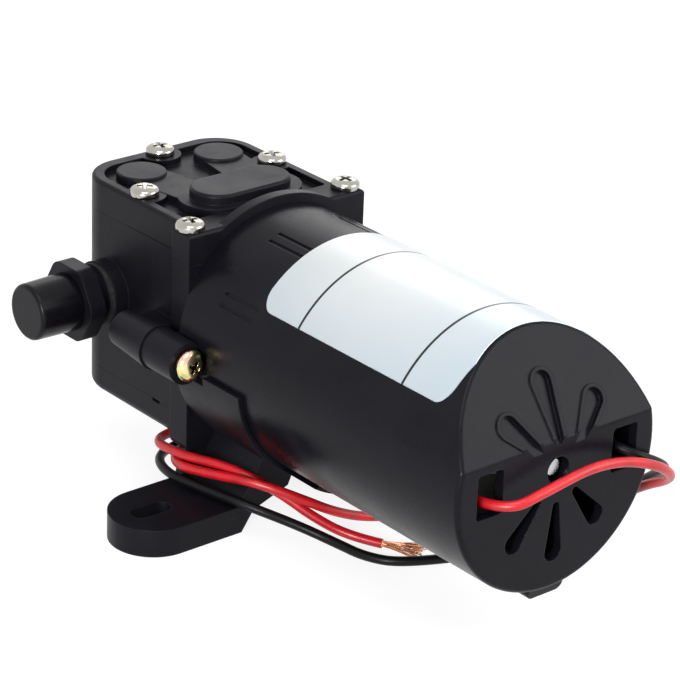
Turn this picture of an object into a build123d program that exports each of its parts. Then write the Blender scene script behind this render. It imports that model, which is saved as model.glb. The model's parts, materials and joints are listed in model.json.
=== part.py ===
from build123d import *
from math import cos, pi, radians, sin, sqrt, tan
import os

# Small 12 volt diaphragm water pump, in millimetres.
# X runs along the motor, from the pump head at -X to the sloping motor end at +X.
# Y runs across, with a port on each side. The feet stand on Z = 0.
# The origin is on the mounting surface, under the middle of the length.

os.makedirs("parts", exist_ok=True)

# Layout along the motor
axis_height = 43.3
head_length = 52.1
shroud_length = 101.2
flange_thickness = 6.8
head_front_x = -(head_length + shroud_length) / 2
shroud_start_x = head_front_x + head_length
shroud_end_x = shroud_start_x + shroud_length
flange_face_x = shroud_start_x - flange_thickness

# Head casings
head_width = 47.4
head_corner_radius = 11
ear_width = 54
lower_edge_drop = 29.4
bottom_cover_height = 7.4
cover_seam_rise = 20.2
cover_height = 7.9
casing_edge_radius = 1
pry_notch = (3, 1.6, 0.8)
spigot_length = 4
lower_edge_radius = 2.6
head_bottom_z = axis_height - lower_edge_drop
body_bottom_z = head_bottom_z + bottom_cover_height
cover_seam_z = axis_height + cover_seam_rise
cover_top_z = cover_seam_z + cover_height

# Small fits used all over
slip_fit = 0.05
loose_fit = 0.15
touch_gap = 0.02

# Top cover relief
pocket_depth = 1.6
front_rim = 3.7
side_rim = 2.6
rear_rim = 1.05
pocket_corner_radius = 8
screw_pad_radius = 5.4
dome_setback = 12.3
dome_y = 12
dome_radius = 6.3
dome_rise = 0.8
dome_edge_radius = 0.5
dome_chamber_radius = 4.6
dome_chamber_roof = 2.6
boss_setback = 8.5
boss_lower_size = (17.5, 34)
boss_lower_rise = 0.9
boss_upper_size = (13.6, 27.8)
boss_upper_rise = 3.5
boss_edge_radius = 0.8
channel_width = 11.4
channel_drop = -0.1
channel_end_y = 8
channel_bore = 3.4
arch_radius = 32.4
arch_depth = 2.8

# Fasteners
ear_screw_offset = 3
ear_screw_margin = 3.1
side_screw_setback = 24.3
side_screw_margin = 3.9
front_screw_setback = 3.7
cover_screw_shank = 1.95
cover_screw_head = 3.65
cover_screw_head_height = 2.4
cover_screw_reach = 15
thread_bite = 0.02
thread_clearance = 1
bottom_front_setback = 6.65
bottom_front_margin = 7.2
bottom_rear_setback = 5.65
bottom_rear_margin = 3.7
bottom_screw_shank = 1.5
bottom_screw_head = 2.8
bottom_screw_head_height = 1.8
bottom_screw_reach = 11

# Side bosses that clamp the flange to the pump body
tie_y = 33.2
tie_drop = 0.4
tie_boss_radius = 5.75
tie_boss_start_radius = 4.6
tie_boss_end_radius = 5.3
tie_boss_reach = 10.65
tie_joint_offset = 3.35
tie_boss_length = 25.6
tie_web_height = 5
tie_screw_shank = 1.95
tie_screw_head = 4
tie_screw_head_height = 3
tie_screw_reach = 26
tie_z = axis_height - tie_drop

# Ports
port_setback = 15.3
port_rise = 0.5
port_collar_radius = 8.2
port_collar_length = 3.8
port_thread_radius = 6.4
port_thread_length = 12
port_neck_radius = 7
port_neck_length = 4.4
port_nut_across = 18.8
port_nut_corner = 4
port_nut_length = 4.6
port_spigot_radius = 5.6
port_spigot_length = 9.6
port_bore_radius = 4
port_seal_thickness = 1.2
port_seal_radius = 7.8
port_cap_radius = 7.4
port_cap_taper = 0.25
port_cap_length = 12
port_cap_wall = 1.5
cap_running_gap = 0.08
port_z = axis_height + port_rise
port_face_y = head_width / 2 + port_collar_length

# Drive in the crank chamber
crank_setback = 10.15
crank_throw = 1.6
eccentric_radius = 5
bearing_width = 5
rod_race_inner = 8.5
rod_race_outer = 9.5
rod_ball_radius = 1.19
rod_ball_count = 10
rod_ring_radius = 12
rod_ring_width = 6
counterweight_radius = 9.5
counterweight_width = 3
counterweight_gap = 0.5
grub_screw_radius = 1.2
chamber_half_width = 16
chamber_length = 18.65
chamber_roof_z = 54
race_gap = 0.06

# Diaphragm and valve stack
diaphragm_seat_z = 56.9
diaphragm_size = (16.4, 31)
diaphragm_rim = 2
diaphragm_rim_thickness = 2
diaphragm_hub_size = (6.4, 18)
diaphragm_web = 1.2
rod_head_thickness = 3
hub_plate_thickness = 1.2
valve_plate_inset = 4.3
valve_plate_rear_gap = 1.95
valve_boss_radius = 4.4
valve_hole_radius = 1.1
valve_hole_circle = 2.8
valve_hole_count = 4
valve_disc_radius = 4.2
valve_disc_thickness = 0.9
valve_stem_radius = 0.9
valve_bead = 0.35
retainer_screw_shank = 1.45
retainer_screw_head = 2.7
retainer_screw_head_height = 2.1
valve_pocket_radius = 5
valve_pocket_depth = 3.2
riser_radius = 3.2
gasket_inset = 0.4
gasket_width = 1.5
gasket_thickness = 1
rod_head_z = diaphragm_seat_z + diaphragm_rim_thickness
hub_top_z = rod_head_z + diaphragm_web
retainer_top_z = hub_top_z + hub_plate_thickness
retainer_thread_depth = 2.1
pump_chamber_size = (12.4, 27)
pump_chamber_height = 5.5

# Motor shroud
shroud_radius = 30
shroud_wall = 2.5
shroud_edge_radius = 1.2
slope_setback = 14.2
slope_run = 0.62
slope_rise = 1
ridge_radius = 1.8
leaf_step = 40
leaf_inner_radius = 9
leaf_outer_radius = 20
leaf_middle_extra = 2.6
leaf_shift = 1.6
leaf_bead_width = 0.9
leaf_bead_height = 0.45
vent_outer_radius = 19.4
vent_middle_extra = 1
leaf_tip_radius = 1
leaf_end_radius = 2.5
leaf_recess = 0.9
lead_window = (7.6, 11)
lead_window_y = 20.4
lead_window_drop = 0.3
shaft_hole_radius = 3.25
groove_setback = 11.45
groove_length = 12.6
groove_width = 0.9
groove_depth = 0.5
groove_half_step = 2.9
groove_angles = (31.8, 69.3, 110.7, 148.2)
rib_count = 6
rib_width = 2
rib_setback = 32.65
rib_length = 8
tail_nub_setback = 6
tail_nub_length = 5
tail_nub_width = 10.6
tail_nub_drop = 2.4
tail_nub_edge_radius = 1.8

# Label
label_setback = 24.25
label_length = 65
label_edge_gap = 0.5
label_thickness = 0.15
label_edge_angle = 35.7
label_corner = 3.5

# Mounting base
cradle_wall = 1.25
cradle_length = 25
cradle_top_z = 39.8
keel_length = 12.7
keel_half_angle = 30
base_gap = 0.05
pedestal_lead = 6
pedestal_length = 25.5
pedestal_neck_half = 18
pedestal_neck_z = 18.8
pedestal_foot_half = 25.5
foot_inner_half = 24.6
relief_half = 21
relief_height = 5.1
arch_foot_half = 10.5
arch_foot_z = 8.7
arch_half = 9.5
arch_roof_z = 11
pedestal_wall = 2.6
foot_thickness = 7.1
foot_width = 22.3
foot_span = 108
slot_spacing = 87
slot_width = 5
slot_length = 11
base_screw_offset = 3.35
base_screw_y = 15
base_seat_z = 10.6
base_screw_shank = 1.5
base_screw_head = 2.9
base_screw_head_height = 2
base_screw_reach = 12

# Motor
can_radius = 26
can_wall = 1.6
end_plate_thickness = 3.5
plate_register = 2
can_tail_gap = 25.7
rear_hub_radius = 8
rear_hub_length = 5
pilot_radius = 10
pilot_length = 3.4
magnet_inner_radius = 20.6
magnet_angle = 124
magnet_length = 46
magnet_setback = 12.55
core_radius = 20
core_length = 38
winding_gap = 0.4
slot_count = 12
slot_inner_radius = 9.5
slot_outer_radius = 18.6
slot_opening = 1.4
slot_body_width = 3
winding_end_length = 6
commutator_radius = 9
terminal_size = (5.5, 3, 0.8)
commutator_length = 9.6
commutator_setback = 13.55
segment_gap = 0.6
segment_depth = 0.8
shaft_radius = 2.5
shaft_tail_radius = 2
shaft_overhang = 5.1
shaft_tip_inset = 1.85
front_race_inner = 3.6
front_race_outer = 6.9
front_bearing_radius = 8
front_ball_radius = 1.59
front_ball_count = 7
front_bearing_lead = 2.85
bush_radius = 4.5
brush_size = (6, 5, 8)
brush_gap = 0.06
holder_wall = 1
brush_spring_radius = 1.9
brush_spring_length = 4.6
motor_screw_offset = 13
motor_screw_shank = 1.45
motor_screw_head = 2.7
motor_screw_head_height = 2.1
motor_screw_reach = 9

# Leads
lead_diameter = 2.4
strand_diameter = 1.4
red_lead_points = [
    (59.95, -21.4, 39.8),
    (80.8, -21.4, 39.8),
    (82, -6.4, 43),
    (82.2, 5.2, 44.8),
    (82, 17, 42.9),
    (82.2, 28.2, 38),
    (77.9, 36.5, 30.8),
    (66, 38, 23.6),
    (52, 37, 12),
    (38.6, 33, 2.6),
    (25, 26, 1.4),
    (14.5, 15.5, 1.4),
    (9.6, 3.5, 1.6),
    (8.8, -7, 6),
    (6.5, -15.6, 11.2),
    (-1.5, -24.4, 15.2),
    (-13, -27.9, 13.4),
    (-27.2, -29.4, 10.9),
    (-36.9, -19.2, 9.1),
    (-35.2, -3, 8.6),
    (-33.4, 13, 8.2),
    (-32.4, 29, 6),
    (-36, 42, 3),
    (-46, 47.5, 1.5),
    (-54.5, 40, 1.5),
    (-54, 27, 4),
    (-49, 13, 8),
    (-43, 0, 10.6),
    (-41.2, -11, 11),
    (-40.6, -26.2, 11.4),
    (-25.6, -27.8, 13.5),
    (-14, -25.4, 15.2),
    (-5.2, -23.4, 15.2),
    (1.4, -17.6, 11),
    (7.6, -12.8, 6),
    (14, -6.6, 1.6),
    (21.2, -2.2, 1.3),
]
black_lead_points = [
    (59.95, 19.4, 42.8),
    (78, 19.4, 42.8),
    (79.2, 32.6, 36),
    (69, 41, 27.6),
    (54, 42.6, 15),
    (39.4, 41, 3.2),
    (23, 37.6, 1.3),
    (9, 34, 3.2),
    (-4, 30.4, 9),
    (-18, 28.8, 9.2),
    (-30, 27, 10.2),
    (-39, 19, 9.2),
    (-42.8, 6, 6.8),
    (-42.6, -6, 6.6),
    (-41.6, -16, 7.2),
    (-37.6, -26.4, 8),
    (-27, -31, 8.8),
    (-14.6, -28.8, 8.9),
    (-2.2, -25.7, 8.9),
    (6.4, -16.6, 4.4),
    (14.6, -11.4, 1.6),
    (24, -9.8, 1.3),
    (31.6, -4.6, 1.3),
    (36, 6, 1.3),
]
red_end_points = [(21.2, -2.2, 1.3), (24.8, 0, 1.15), (30.4, 1.8, 0.95)]
black_end_points = [(36, 6, 1.3), (38.2, 11.3, 1.3), (42, 15.5, 1.1)]

# Values that follow from the ones above
motor_axis = Axis((0, 0, axis_height), (1, 0, 0))
rear_rim_x = flange_face_x - rear_rim
dome_x = head_front_x + dome_setback
boss_x = flange_face_x - boss_setback
port_x = head_front_x + port_setback
crank_x = flange_face_x - crank_setback
chamber_start_x = flange_face_x - chamber_length
valve_plate_end_x = flange_face_x - valve_plate_rear_gap
ear_screw_x = flange_face_x + ear_screw_offset
ear_screw_y = ear_width / 2 - ear_screw_margin
side_screw_x = head_front_x + side_screw_setback
side_screw_y = head_width / 2 - side_screw_margin
cover_screw_sites = [
    (ear_screw_x, -ear_screw_y),
    (ear_screw_x, ear_screw_y),
    (side_screw_x, -side_screw_y),
    (side_screw_x, side_screw_y),
    (head_front_x + front_screw_setback, 0),
]
bottom_front_x = head_front_x + bottom_front_setback
bottom_front_y = head_width / 2 - bottom_front_margin
bottom_rear_x = flange_face_x - bottom_rear_setback
bottom_rear_y = head_width / 2 - bottom_rear_margin
bottom_screw_sites = [
    (bottom_front_x, -bottom_front_y),
    (bottom_front_x, bottom_front_y),
    (bottom_rear_x, -bottom_rear_y),
    (bottom_rear_x, bottom_rear_y),
]
tie_boss_start_x = flange_face_x - tie_boss_reach
tie_joint_x = flange_face_x + tie_joint_offset
tie_boss_end_x = tie_boss_start_x + tie_boss_length
tie_head_end_x = tie_boss_end_x + tie_screw_head_height
slope_top_x = shroud_end_x - slope_setback
groove_start_x = shroud_start_x + groove_setback
rib_start_x = shroud_end_x - rib_setback
tail_nub_start_x = shroud_end_x - tail_nub_setback
tail_nub_tip_z = axis_height - shroud_radius - tail_nub_drop
label_start_x = shroud_start_x + label_setback
pedestal_start_x = shroud_start_x - pedestal_lead
pedestal_end_x = pedestal_start_x + pedestal_length
base_screw_x = shroud_start_x - base_screw_offset
magnet_start_x = shroud_start_x + magnet_setback
front_bearing_start_x = shroud_start_x - front_bearing_lead
shaft_start_x = crank_x - shaft_overhang
shaft_end_x = shroud_end_x - shaft_tip_inset
pocket_floor_z = cover_top_z - pocket_depth
dome_top_z = cover_top_z + dome_rise
boss_lower_top_z = cover_top_z + boss_lower_rise
boss_upper_top_z = cover_top_z + boss_upper_rise
channel_rise = pocket_depth - channel_drop
valve_plate_z = diaphragm_seat_z + diaphragm_rim_thickness
crank_pin_z = axis_height + crank_throw
bearing_start_x = crank_x - bearing_width / 2
rod_ball_pitch = rod_race_inner - race_gap - rod_ball_radius
counterweight_start_x = crank_x + rod_ring_width / 2 + counterweight_gap
grub_screw_x = counterweight_start_x + counterweight_width / 2
grub_screw_length = counterweight_radius - shaft_radius - slip_fit - casing_edge_radius
tie_hole_depth = tie_screw_reach - (tie_boss_end_x - tie_joint_x) + thread_clearance
cradle_start_x = shroud_start_x + loose_fit
foot_start_x = pedestal_end_x - foot_width
ridge_z = axis_height + shroud_radius - (shroud_end_x - slope_top_x) / slope_run
slope_length = sqrt(slope_rise ** 2 + slope_run ** 2)
fan_drop = (ridge_z - axis_height + leaf_shift) / slope_length
slope_plane = Plane(
    origin=(shroud_end_x + slope_run * fan_drop, 0, ridge_z - fan_drop),
    x_dir=(0, 1, 0),
    z_dir=(1, 0, slope_run),
)
tail_nub_root_z = axis_height - shroud_radius + shroud_wall / 2
can_start_x = shroud_start_x + end_plate_thickness
can_end_x = shroud_end_x - can_tail_gap
can_length = can_end_x - can_start_x
terminal_end_x = can_end_x + end_plate_thickness + terminal_size[0]
commutator_start_x = can_end_x - commutator_setback
core_start_x = commutator_start_x - winding_gap - winding_end_length - core_length
brush_x = commutator_start_x + commutator_length / 2
can_inner_radius = can_radius - can_wall
shaft_step_x = commutator_start_x + commutator_length + loose_fit
brush_end_radius = commutator_radius + brush_gap + brush_size[2]
spring_end_radius = brush_end_radius + brush_spring_length
holder_plate_x = brush_x + brush_size[0] / 2 + holder_wall


def across(x, y=0, z=axis_height):
    """Plane square to the motor, with its own X along Y and its own Y upwards."""
    return Plane(origin=(x, y, z), x_dir=(0, 1, 0), z_dir=(1, 0, 0))


def outward(side, distance, x=port_x, z=port_z):
    """Plane square to a port, facing out from the head on that side."""
    return Plane(origin=(x, side * distance, z), x_dir=(-side, 0, 0), z_dir=(0, side, 0))


def head_outline(inset=0):
    """Plan of the pump head with its two front corners rounded, drawn in by inset."""
    with BuildSketch() as outline:
        with Locations(((head_front_x + flange_face_x) / 2, 0)):
            Rectangle(flange_face_x - head_front_x, head_width)
        fillet(outline.vertices().group_by(Axis.X)[0], radius=head_corner_radius)
        if inset:
            offset(amount=-inset)
    return outline.sketch


def valve_outline(inset=0):
    """Plan of the valve plate, cut back around the three screws that pass beside it."""
    with BuildSketch() as outline:
        add(head_outline(valve_plate_inset))
        with Locations((valve_plate_end_x, 0)):
            Rectangle(head_length, ear_width, align=(Align.MIN, Align.CENTER), mode=Mode.SUBTRACT)
        with Locations(*cover_screw_sites[2:]):
            Circle(valve_boss_radius, mode=Mode.SUBTRACT)
        if inset:
            offset(amount=-inset)
    return outline.sketch


def pan_screw(shank, head, head_height, reach):
    """Cross-recessed pan head screw that stands on its seat, with its shank going down."""
    recess_width = 0.3 * head
    recess_length = 1.1 * head
    with BuildPart() as screw:
        Cylinder(head, head_height, align=(Align.CENTER, Align.CENTER, Align.MIN))
        fillet(screw.faces().sort_by(Axis.Z)[-1].edges(), radius=0.6 * head_height)
        Cylinder(shank, reach, align=(Align.CENTER, Align.CENTER, Align.MAX))
        with Locations((0, 0, head_height)):
            for turn in (0, 90):
                Box(recess_length, recess_width, head_height, rotation=(0, 0, turn), mode=Mode.SUBTRACT)
    return screw.part


def ball_ring(x, pitch, ball_radius, count, z):
    """Ring of separate bearing balls around an axis along X."""
    with BuildPart() as balls:
        with Locations(across(x, 0, z)):
            with PolarLocations(pitch, count):
                Sphere(ball_radius)
    return balls.part


def sleeve(start_x, length, inner, outer, z=axis_height):
    """Plain tube along X."""
    with BuildPart() as tube:
        with BuildSketch(across(start_x, 0, z)):
            Circle(outer)
            Circle(inner, mode=Mode.SUBTRACT)
        extrude(amount=length)
    return tube.part


def sloping_barrel(radius, inset):
    """Barrel with the sloping upper end of the shroud, drawn in by inset from its ends."""
    end_x = shroud_end_x - inset
    slope_inset = inset * sqrt(slope_rise ** 2 + slope_run ** 2)
    top_z = axis_height + 2 * shroud_radius
    top_x = slope_top_x - slope_inset - slope_run * shroud_radius
    ridge_z = axis_height + shroud_radius - (shroud_end_x - slope_top_x) / slope_run
    ridge_z += (slope_inset - inset) / slope_run
    with BuildPart() as barrel:
        with BuildSketch(across(shroud_start_x)):
            Circle(radius)
        extrude(amount=end_x - shroud_start_x)
        with BuildSketch(Plane.XZ):
            with BuildLine():
                Polyline(
                    (top_x, top_z),
                    (end_x, ridge_z),
                    (end_x + shroud_radius, ridge_z),
                    (end_x + shroud_radius, top_z),
                    close=True,
                )
            make_face()
        extrude(amount=shroud_radius + shroud_wall, both=True, mode=Mode.SUBTRACT)
    return barrel.part


def leaf(angle, outer_radius, grow):
    """Tapered leaf shape that points away from the centre of its sketch."""
    with BuildSketch() as shape:
        with Locations((leaf_inner_radius, 0)):
            Circle(leaf_tip_radius + grow)
        with Locations((outer_radius, 0)):
            Circle(leaf_end_radius + grow)
        make_hull()
    return shape.sketch.rotate(Axis.Z, angle)


def leaf_fan(middle_angle, outer_radius, middle_extra, grow=0):
    """Three leaves side by side, the middle one longer, each widened by grow."""
    leaves = []
    for step in (-1, 0, 1):
        reach = outer_radius + (middle_extra if step == 0 else 0)
        leaves.append(leaf(middle_angle + step * leaf_step, reach, grow))
    return leaves


def port_fitting(side):
    """Screwed-in port with a neck, a rounded hexagon and a push-on spigot."""
    seal_end = port_face_y + port_seal_thickness
    neck_end = port_face_y + port_neck_length
    nut_end = neck_end + port_nut_length
    with BuildPart() as fitting:
        with BuildSketch(outward(side, port_face_y - port_thread_length)):
            Circle(port_thread_radius)
        extrude(amount=port_thread_length + port_seal_thickness)
        with BuildSketch(outward(side, seal_end)):
            Circle(port_neck_radius)
        extrude(amount=neck_end - seal_end)
        with BuildSketch(outward(side, neck_end)) as nut:
            RegularPolygon(port_nut_across / 2, 6, major_radius=False)
            fillet(nut.vertices(), radius=port_nut_corner)
        extrude(amount=port_nut_length)
        with BuildSketch(outward(side, nut_end)):
            Circle(port_spigot_radius)
        extrude(amount=port_spigot_length)
        with BuildSketch(outward(side, port_face_y - port_thread_length)):
            Circle(port_bore_radius)
        extrude(amount=nut_end + port_spigot_length, mode=Mode.SUBTRACT)
    return fitting.part


def port_cap(side):
    """Push-on plug cap, slightly narrower at its closed end."""
    start = port_face_y + port_neck_length + port_nut_length + loose_fit
    with BuildPart() as cap:
        with BuildSketch(outward(side, start)):
            Circle(port_cap_radius)
        with BuildSketch(outward(side, start + port_cap_length)):
            Circle(port_cap_radius - port_cap_taper)
        loft()
        fillet(cap.edges().group_by(Axis.Y)[0 if side < 0 else -1], radius=casing_edge_radius)
        with BuildSketch(outward(side, start)):
            Circle(port_spigot_radius + cap_running_gap)
        extrude(amount=port_cap_length - port_cap_wall, mode=Mode.SUBTRACT)
    return cap.part


def umbrella_valve(x, y, seat_z, lift):
    """Rubber valve: a stem through the plate and a disc on the side that it opens to."""
    plate = cover_seam_z - seat_z if lift < 0 else seat_z - valve_plate_z
    with BuildPart() as valve:
        with Locations(Plane(origin=(x, y, seat_z), x_dir=(1, 0, 0), z_dir=(0, 0, lift))):
            Cylinder(
                valve_disc_radius,
                valve_disc_thickness,
                align=(Align.CENTER, Align.CENTER, Align.MIN),
            )
            Cylinder(
                valve_stem_radius,
                plate,
                align=(Align.CENTER, Align.CENTER, Align.MAX),
            )
            with Locations((0, 0, -plate)):
                Cylinder(
                    valve_stem_radius + 2 * valve_bead,
                    2 * valve_bead,
                    align=(Align.CENTER, Align.CENTER, Align.MAX),
                )
    return valve.part


def magnet(turn):
    """One curved magnet inside the can, centred at the given turn from the top."""
    with BuildPart() as shell:
        with BuildSketch(Plane.XZ):
            with Locations((magnet_start_x + magnet_length / 2, axis_height)):
                Rectangle(magnet_length, can_inner_radius - touch_gap, align=(Align.CENTER, Align.MIN))
                Rectangle(
                    magnet_length,
                    magnet_inner_radius,
                    align=(Align.CENTER, Align.MIN),
                    mode=Mode.SUBTRACT,
                )
        revolve(axis=motor_axis, revolution_arc=magnet_angle)
    return shell.part.rotate(motor_axis, turn - magnet_angle / 2)


def brush_spring(side):
    """Closed-up spring behind one brush, as the space that it fills."""
    with BuildPart() as spring:
        with Locations(Plane(origin=(brush_x, 0, axis_height), x_dir=(1, 0, 0), z_dir=(0, 0, side))):
            with Locations((0, 0, brush_end_radius)):
                Cylinder(
                    brush_spring_radius,
                    brush_spring_length,
                    align=(Align.CENTER, Align.CENTER, Align.MIN),
                )
    return spring.part


def brush(side):
    """One carbon brush, standing on the commutator."""
    with BuildPart() as block:
        with Locations(Plane(origin=(brush_x, 0, axis_height), x_dir=(1, 0, 0), z_dir=(0, 0, side))):
            with Locations((0, 0, commutator_radius + brush_gap)):
                Box(*brush_size, align=(Align.CENTER, Align.CENTER, Align.MIN))
        with BuildSketch(across(brush_x - brush_size[0])):
            Circle(commutator_radius + brush_gap)
        extrude(amount=2 * brush_size[0], mode=Mode.SUBTRACT)
    return block.part


def from_terminal(points):
    """Points of a lead, the first one moved onto the end of the terminals."""
    return [(terminal_end_x, *points[0][1:]), *points[1:]]


def lead_tube(points, diameter):
    """Lead along straight runs joined by arcs as large as the runs allow."""
    radii = []
    for before, corner, after in zip(points, points[1:], points[2:]):
        run_in = Vector(*corner) - Vector(*before)
        run_out = Vector(*after) - Vector(*corner)
        half_turn = radians(run_in.get_angle(run_out)) / 2
        radii.append(0.45 * min(run_in.length, run_out.length) / tan(half_turn))
    with BuildPart() as tube:
        with BuildLine() as route:
            FilletPolyline(*points, radius=radii)
        wire = route.wires()[0]
        with BuildSketch(Plane(origin=wire @ 0, z_dir=wire % 0)):
            Circle(diameter / 2)
        sweep()
    expected = wire.length * pi * diameter ** 2 / 4
    print("least radius", round(min(radii), 1), "length", round(wire.length, 1))
    print("volume over section times length", round(tube.part.volume / expected, 4))
    return tube.part


# Top cover: the lid of the pump head
with BuildPart() as top_cover:
    with BuildSketch(Plane.XY.offset(cover_seam_z)):
        add(head_outline())
        with Locations((flange_face_x, 0)):
            Rectangle(flange_thickness, ear_width, align=(Align.MIN, Align.CENTER))
    extrude(amount=cover_height)
    fillet(top_cover.faces().sort_by(Axis.Z)[-1].edges(), radius=casing_edge_radius)
    with BuildSketch(Plane.XY.offset(cover_top_z)) as pocket:
        with Locations(((head_front_x + front_rim + rear_rim_x) / 2, 0)):
            Rectangle(rear_rim_x - head_front_x - front_rim, head_width - 2 * side_rim)
        fillet(pocket.vertices().group_by(Axis.X)[0], radius=pocket_corner_radius)
        with Locations(*cover_screw_sites):
            Circle(screw_pad_radius, mode=Mode.SUBTRACT)
    extrude(amount=-pocket_depth, mode=Mode.SUBTRACT)
    for side in (-1, 1):
        with BuildSketch(Plane.XY.offset(pocket_floor_z - loose_fit)):
            with Locations((dome_x, side * dome_y)):
                Circle(channel_width / 2)
            with Locations((boss_x, side * channel_end_y)):
                Circle(channel_width / 2)
            make_hull()
        extrude(amount=channel_rise + loose_fit)
    with BuildSketch(Plane.XY.offset(pocket_floor_z - loose_fit)):
        with Locations((dome_x, -dome_y), (dome_x, dome_y)):
            Circle(dome_radius)
    extrude(amount=dome_top_z - pocket_floor_z + loose_fit)
    fillet(top_cover.faces().filter_by_position(Axis.Z, dome_top_z, dome_top_z).edges(), dome_edge_radius)
    with BuildSketch(Plane.XY.offset(pocket_floor_z - loose_fit)):
        with Locations((boss_x, 0)):
            SlotOverall(boss_lower_size[1], boss_lower_size[0], rotation=90)
    extrude(amount=boss_lower_top_z - pocket_floor_z + loose_fit)
    with BuildSketch(Plane.XY.offset(boss_lower_top_z)):
        with Locations((boss_x, 0)):
            SlotOverall(boss_upper_size[1], boss_upper_size[0], rotation=90)
    extrude(amount=boss_upper_top_z - boss_lower_top_z)
    fillet(top_cover.faces().sort_by(Axis.Z)[-1].edges(), radius=boss_edge_radius)
    with BuildSketch(across(shroud_start_x - arch_depth)):
        Circle(arch_radius)
        with Locations((0, cover_seam_rise + casing_edge_radius)):
            Rectangle(
                2 * arch_radius,
                3 * arch_radius,
                align=(Align.CENTER, Align.MAX),
                mode=Mode.SUBTRACT,
            )
    extrude(amount=arch_depth)
    with BuildSketch(Plane.XY.offset(cover_seam_z)):
        with Locations((crank_x, 0)):
            SlotOverall(pump_chamber_size[1], pump_chamber_size[0], rotation=90)
    extrude(amount=pump_chamber_height, mode=Mode.SUBTRACT)
    with BuildSketch(Plane.XY.offset(cover_seam_z)):
        with Locations((dome_x, -dome_y), (dome_x, dome_y)):
            Circle(dome_chamber_radius)
    extrude(amount=dome_top_z - dome_chamber_roof - cover_seam_z, mode=Mode.SUBTRACT)
    for side in (-1, 1):
        with BuildSketch(Plane.XY.offset(cover_seam_z)):
            with Locations((dome_x, side * dome_y)):
                Circle(channel_bore / 2)
            with Locations((boss_x, side * channel_end_y)):
                Circle(channel_bore / 2)
            make_hull()
        extrude(amount=channel_bore, mode=Mode.SUBTRACT)
    with BuildSketch(Plane.XY.offset(cover_seam_z)):
        add(valve_outline(gasket_inset))
        add(valve_outline(gasket_inset + gasket_width), mode=Mode.SUBTRACT)
    extrude(amount=gasket_thickness, mode=Mode.SUBTRACT)
    with Locations(*[(x, y, cover_top_z) for x, y in cover_screw_sites]):
        Hole(cover_screw_shank + loose_fit, cover_height)
top_cover.part.label = "top_cover"
export_step(top_cover.part, "parts/top_cover.step")

# Gasket in the underside of the cover
with BuildPart() as cover_gasket:
    with BuildSketch(Plane.XY.offset(cover_seam_z)):
        add(valve_outline(gasket_inset + touch_gap))
        add(valve_outline(gasket_inset + gasket_width - touch_gap), mode=Mode.SUBTRACT)
    extrude(amount=gasket_thickness)
cover_gasket.part.label = "cover_gasket"
export_step(cover_gasket.part, "parts/cover_gasket.step")

# Five bright screws of the cover
cover_screw = pan_screw(cover_screw_shank, cover_screw_head, cover_screw_head_height, cover_screw_reach)
with BuildPart() as cover_screws:
    with Locations(*[(x, y, cover_top_z) for x, y in cover_screw_sites]):
        add(cover_screw)
cover_screws.part.label = "cover_screws"
export_step(cover_screws.part, "parts/cover_screws.step")

# Plate that carries both valves and clamps the diaphragm
with BuildPart() as valve_plate:
    with BuildSketch(Plane.XY.offset(valve_plate_z)):
        add(valve_outline(slip_fit))
        with Locations((crank_x, 0)):
            SlotOverall(pump_chamber_size[1], pump_chamber_size[0], rotation=90, mode=Mode.SUBTRACT)
    extrude(amount=cover_seam_z - valve_plate_z)
    for side in (-1, 1):
        with Locations((dome_x, side * dome_y, cover_seam_z)):
            Hole(valve_stem_radius + touch_gap, cover_seam_z - valve_plate_z)
            with PolarLocations(valve_hole_circle, valve_hole_count):
                Hole(valve_hole_radius, cover_seam_z - valve_plate_z)
valve_plate.part.label = "valve_plate"
export_step(valve_plate.part, "parts/valve_plate.step")

# Inlet valve opens upwards into its dome
inlet_valve = umbrella_valve(dome_x, -dome_y, cover_seam_z, 1)
inlet_valve.label = "inlet_valve"
export_step(inlet_valve, "parts/inlet_valve.step")

# Outlet valve opens downwards into the body
outlet_valve = umbrella_valve(dome_x, dome_y, valve_plate_z, -1)
outlet_valve.label = "outlet_valve"
export_step(outlet_valve, "parts/outlet_valve.step")

# Rubber diaphragm, clamped round its rim
with BuildPart() as diaphragm:
    with BuildSketch(Plane.XY.offset(diaphragm_seat_z)):
        with Locations((crank_x, 0)):
            SlotOverall(diaphragm_size[1], diaphragm_size[0], rotation=90)
            SlotOverall(pump_chamber_size[1], pump_chamber_size[0], rotation=90, mode=Mode.SUBTRACT)
    extrude(amount=diaphragm_rim_thickness)
    with BuildSketch(Plane.XY.offset(valve_plate_z - diaphragm_web)):
        with Locations((crank_x, 0)):
            SlotOverall(diaphragm_size[1], diaphragm_size[0], rotation=90)
            SlotOverall(
                diaphragm_hub_size[1] + 2 * slip_fit,
                diaphragm_hub_size[0] + 2 * slip_fit,
                rotation=90,
                mode=Mode.SUBTRACT,
            )
    extrude(amount=diaphragm_web)
    with BuildSketch(Plane.XY.offset(valve_plate_z)):
        with Locations((crank_x, 0)):
            SlotOverall(
                diaphragm_hub_size[1] + diaphragm_rim,
                diaphragm_hub_size[0] + diaphragm_rim,
                rotation=90,
            )
            Circle(retainer_screw_shank + loose_fit, mode=Mode.SUBTRACT)
    extrude(amount=diaphragm_web)
diaphragm.part.label = "diaphragm"
export_step(diaphragm.part, "parts/diaphragm.step")

# Steel plate and screw that clamp the diaphragm to the rod
with BuildPart() as diaphragm_retainer:
    with BuildSketch(Plane.XY.offset(hub_top_z)):
        with Locations((crank_x, 0)):
            SlotOverall(diaphragm_hub_size[1], diaphragm_hub_size[0], rotation=90)
            Circle(retainer_screw_shank + loose_fit, mode=Mode.SUBTRACT)
    extrude(amount=hub_plate_thickness)
diaphragm_retainer.part.label = "diaphragm_retainer"
export_step(diaphragm_retainer.part, "parts/diaphragm_retainer.step")

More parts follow.
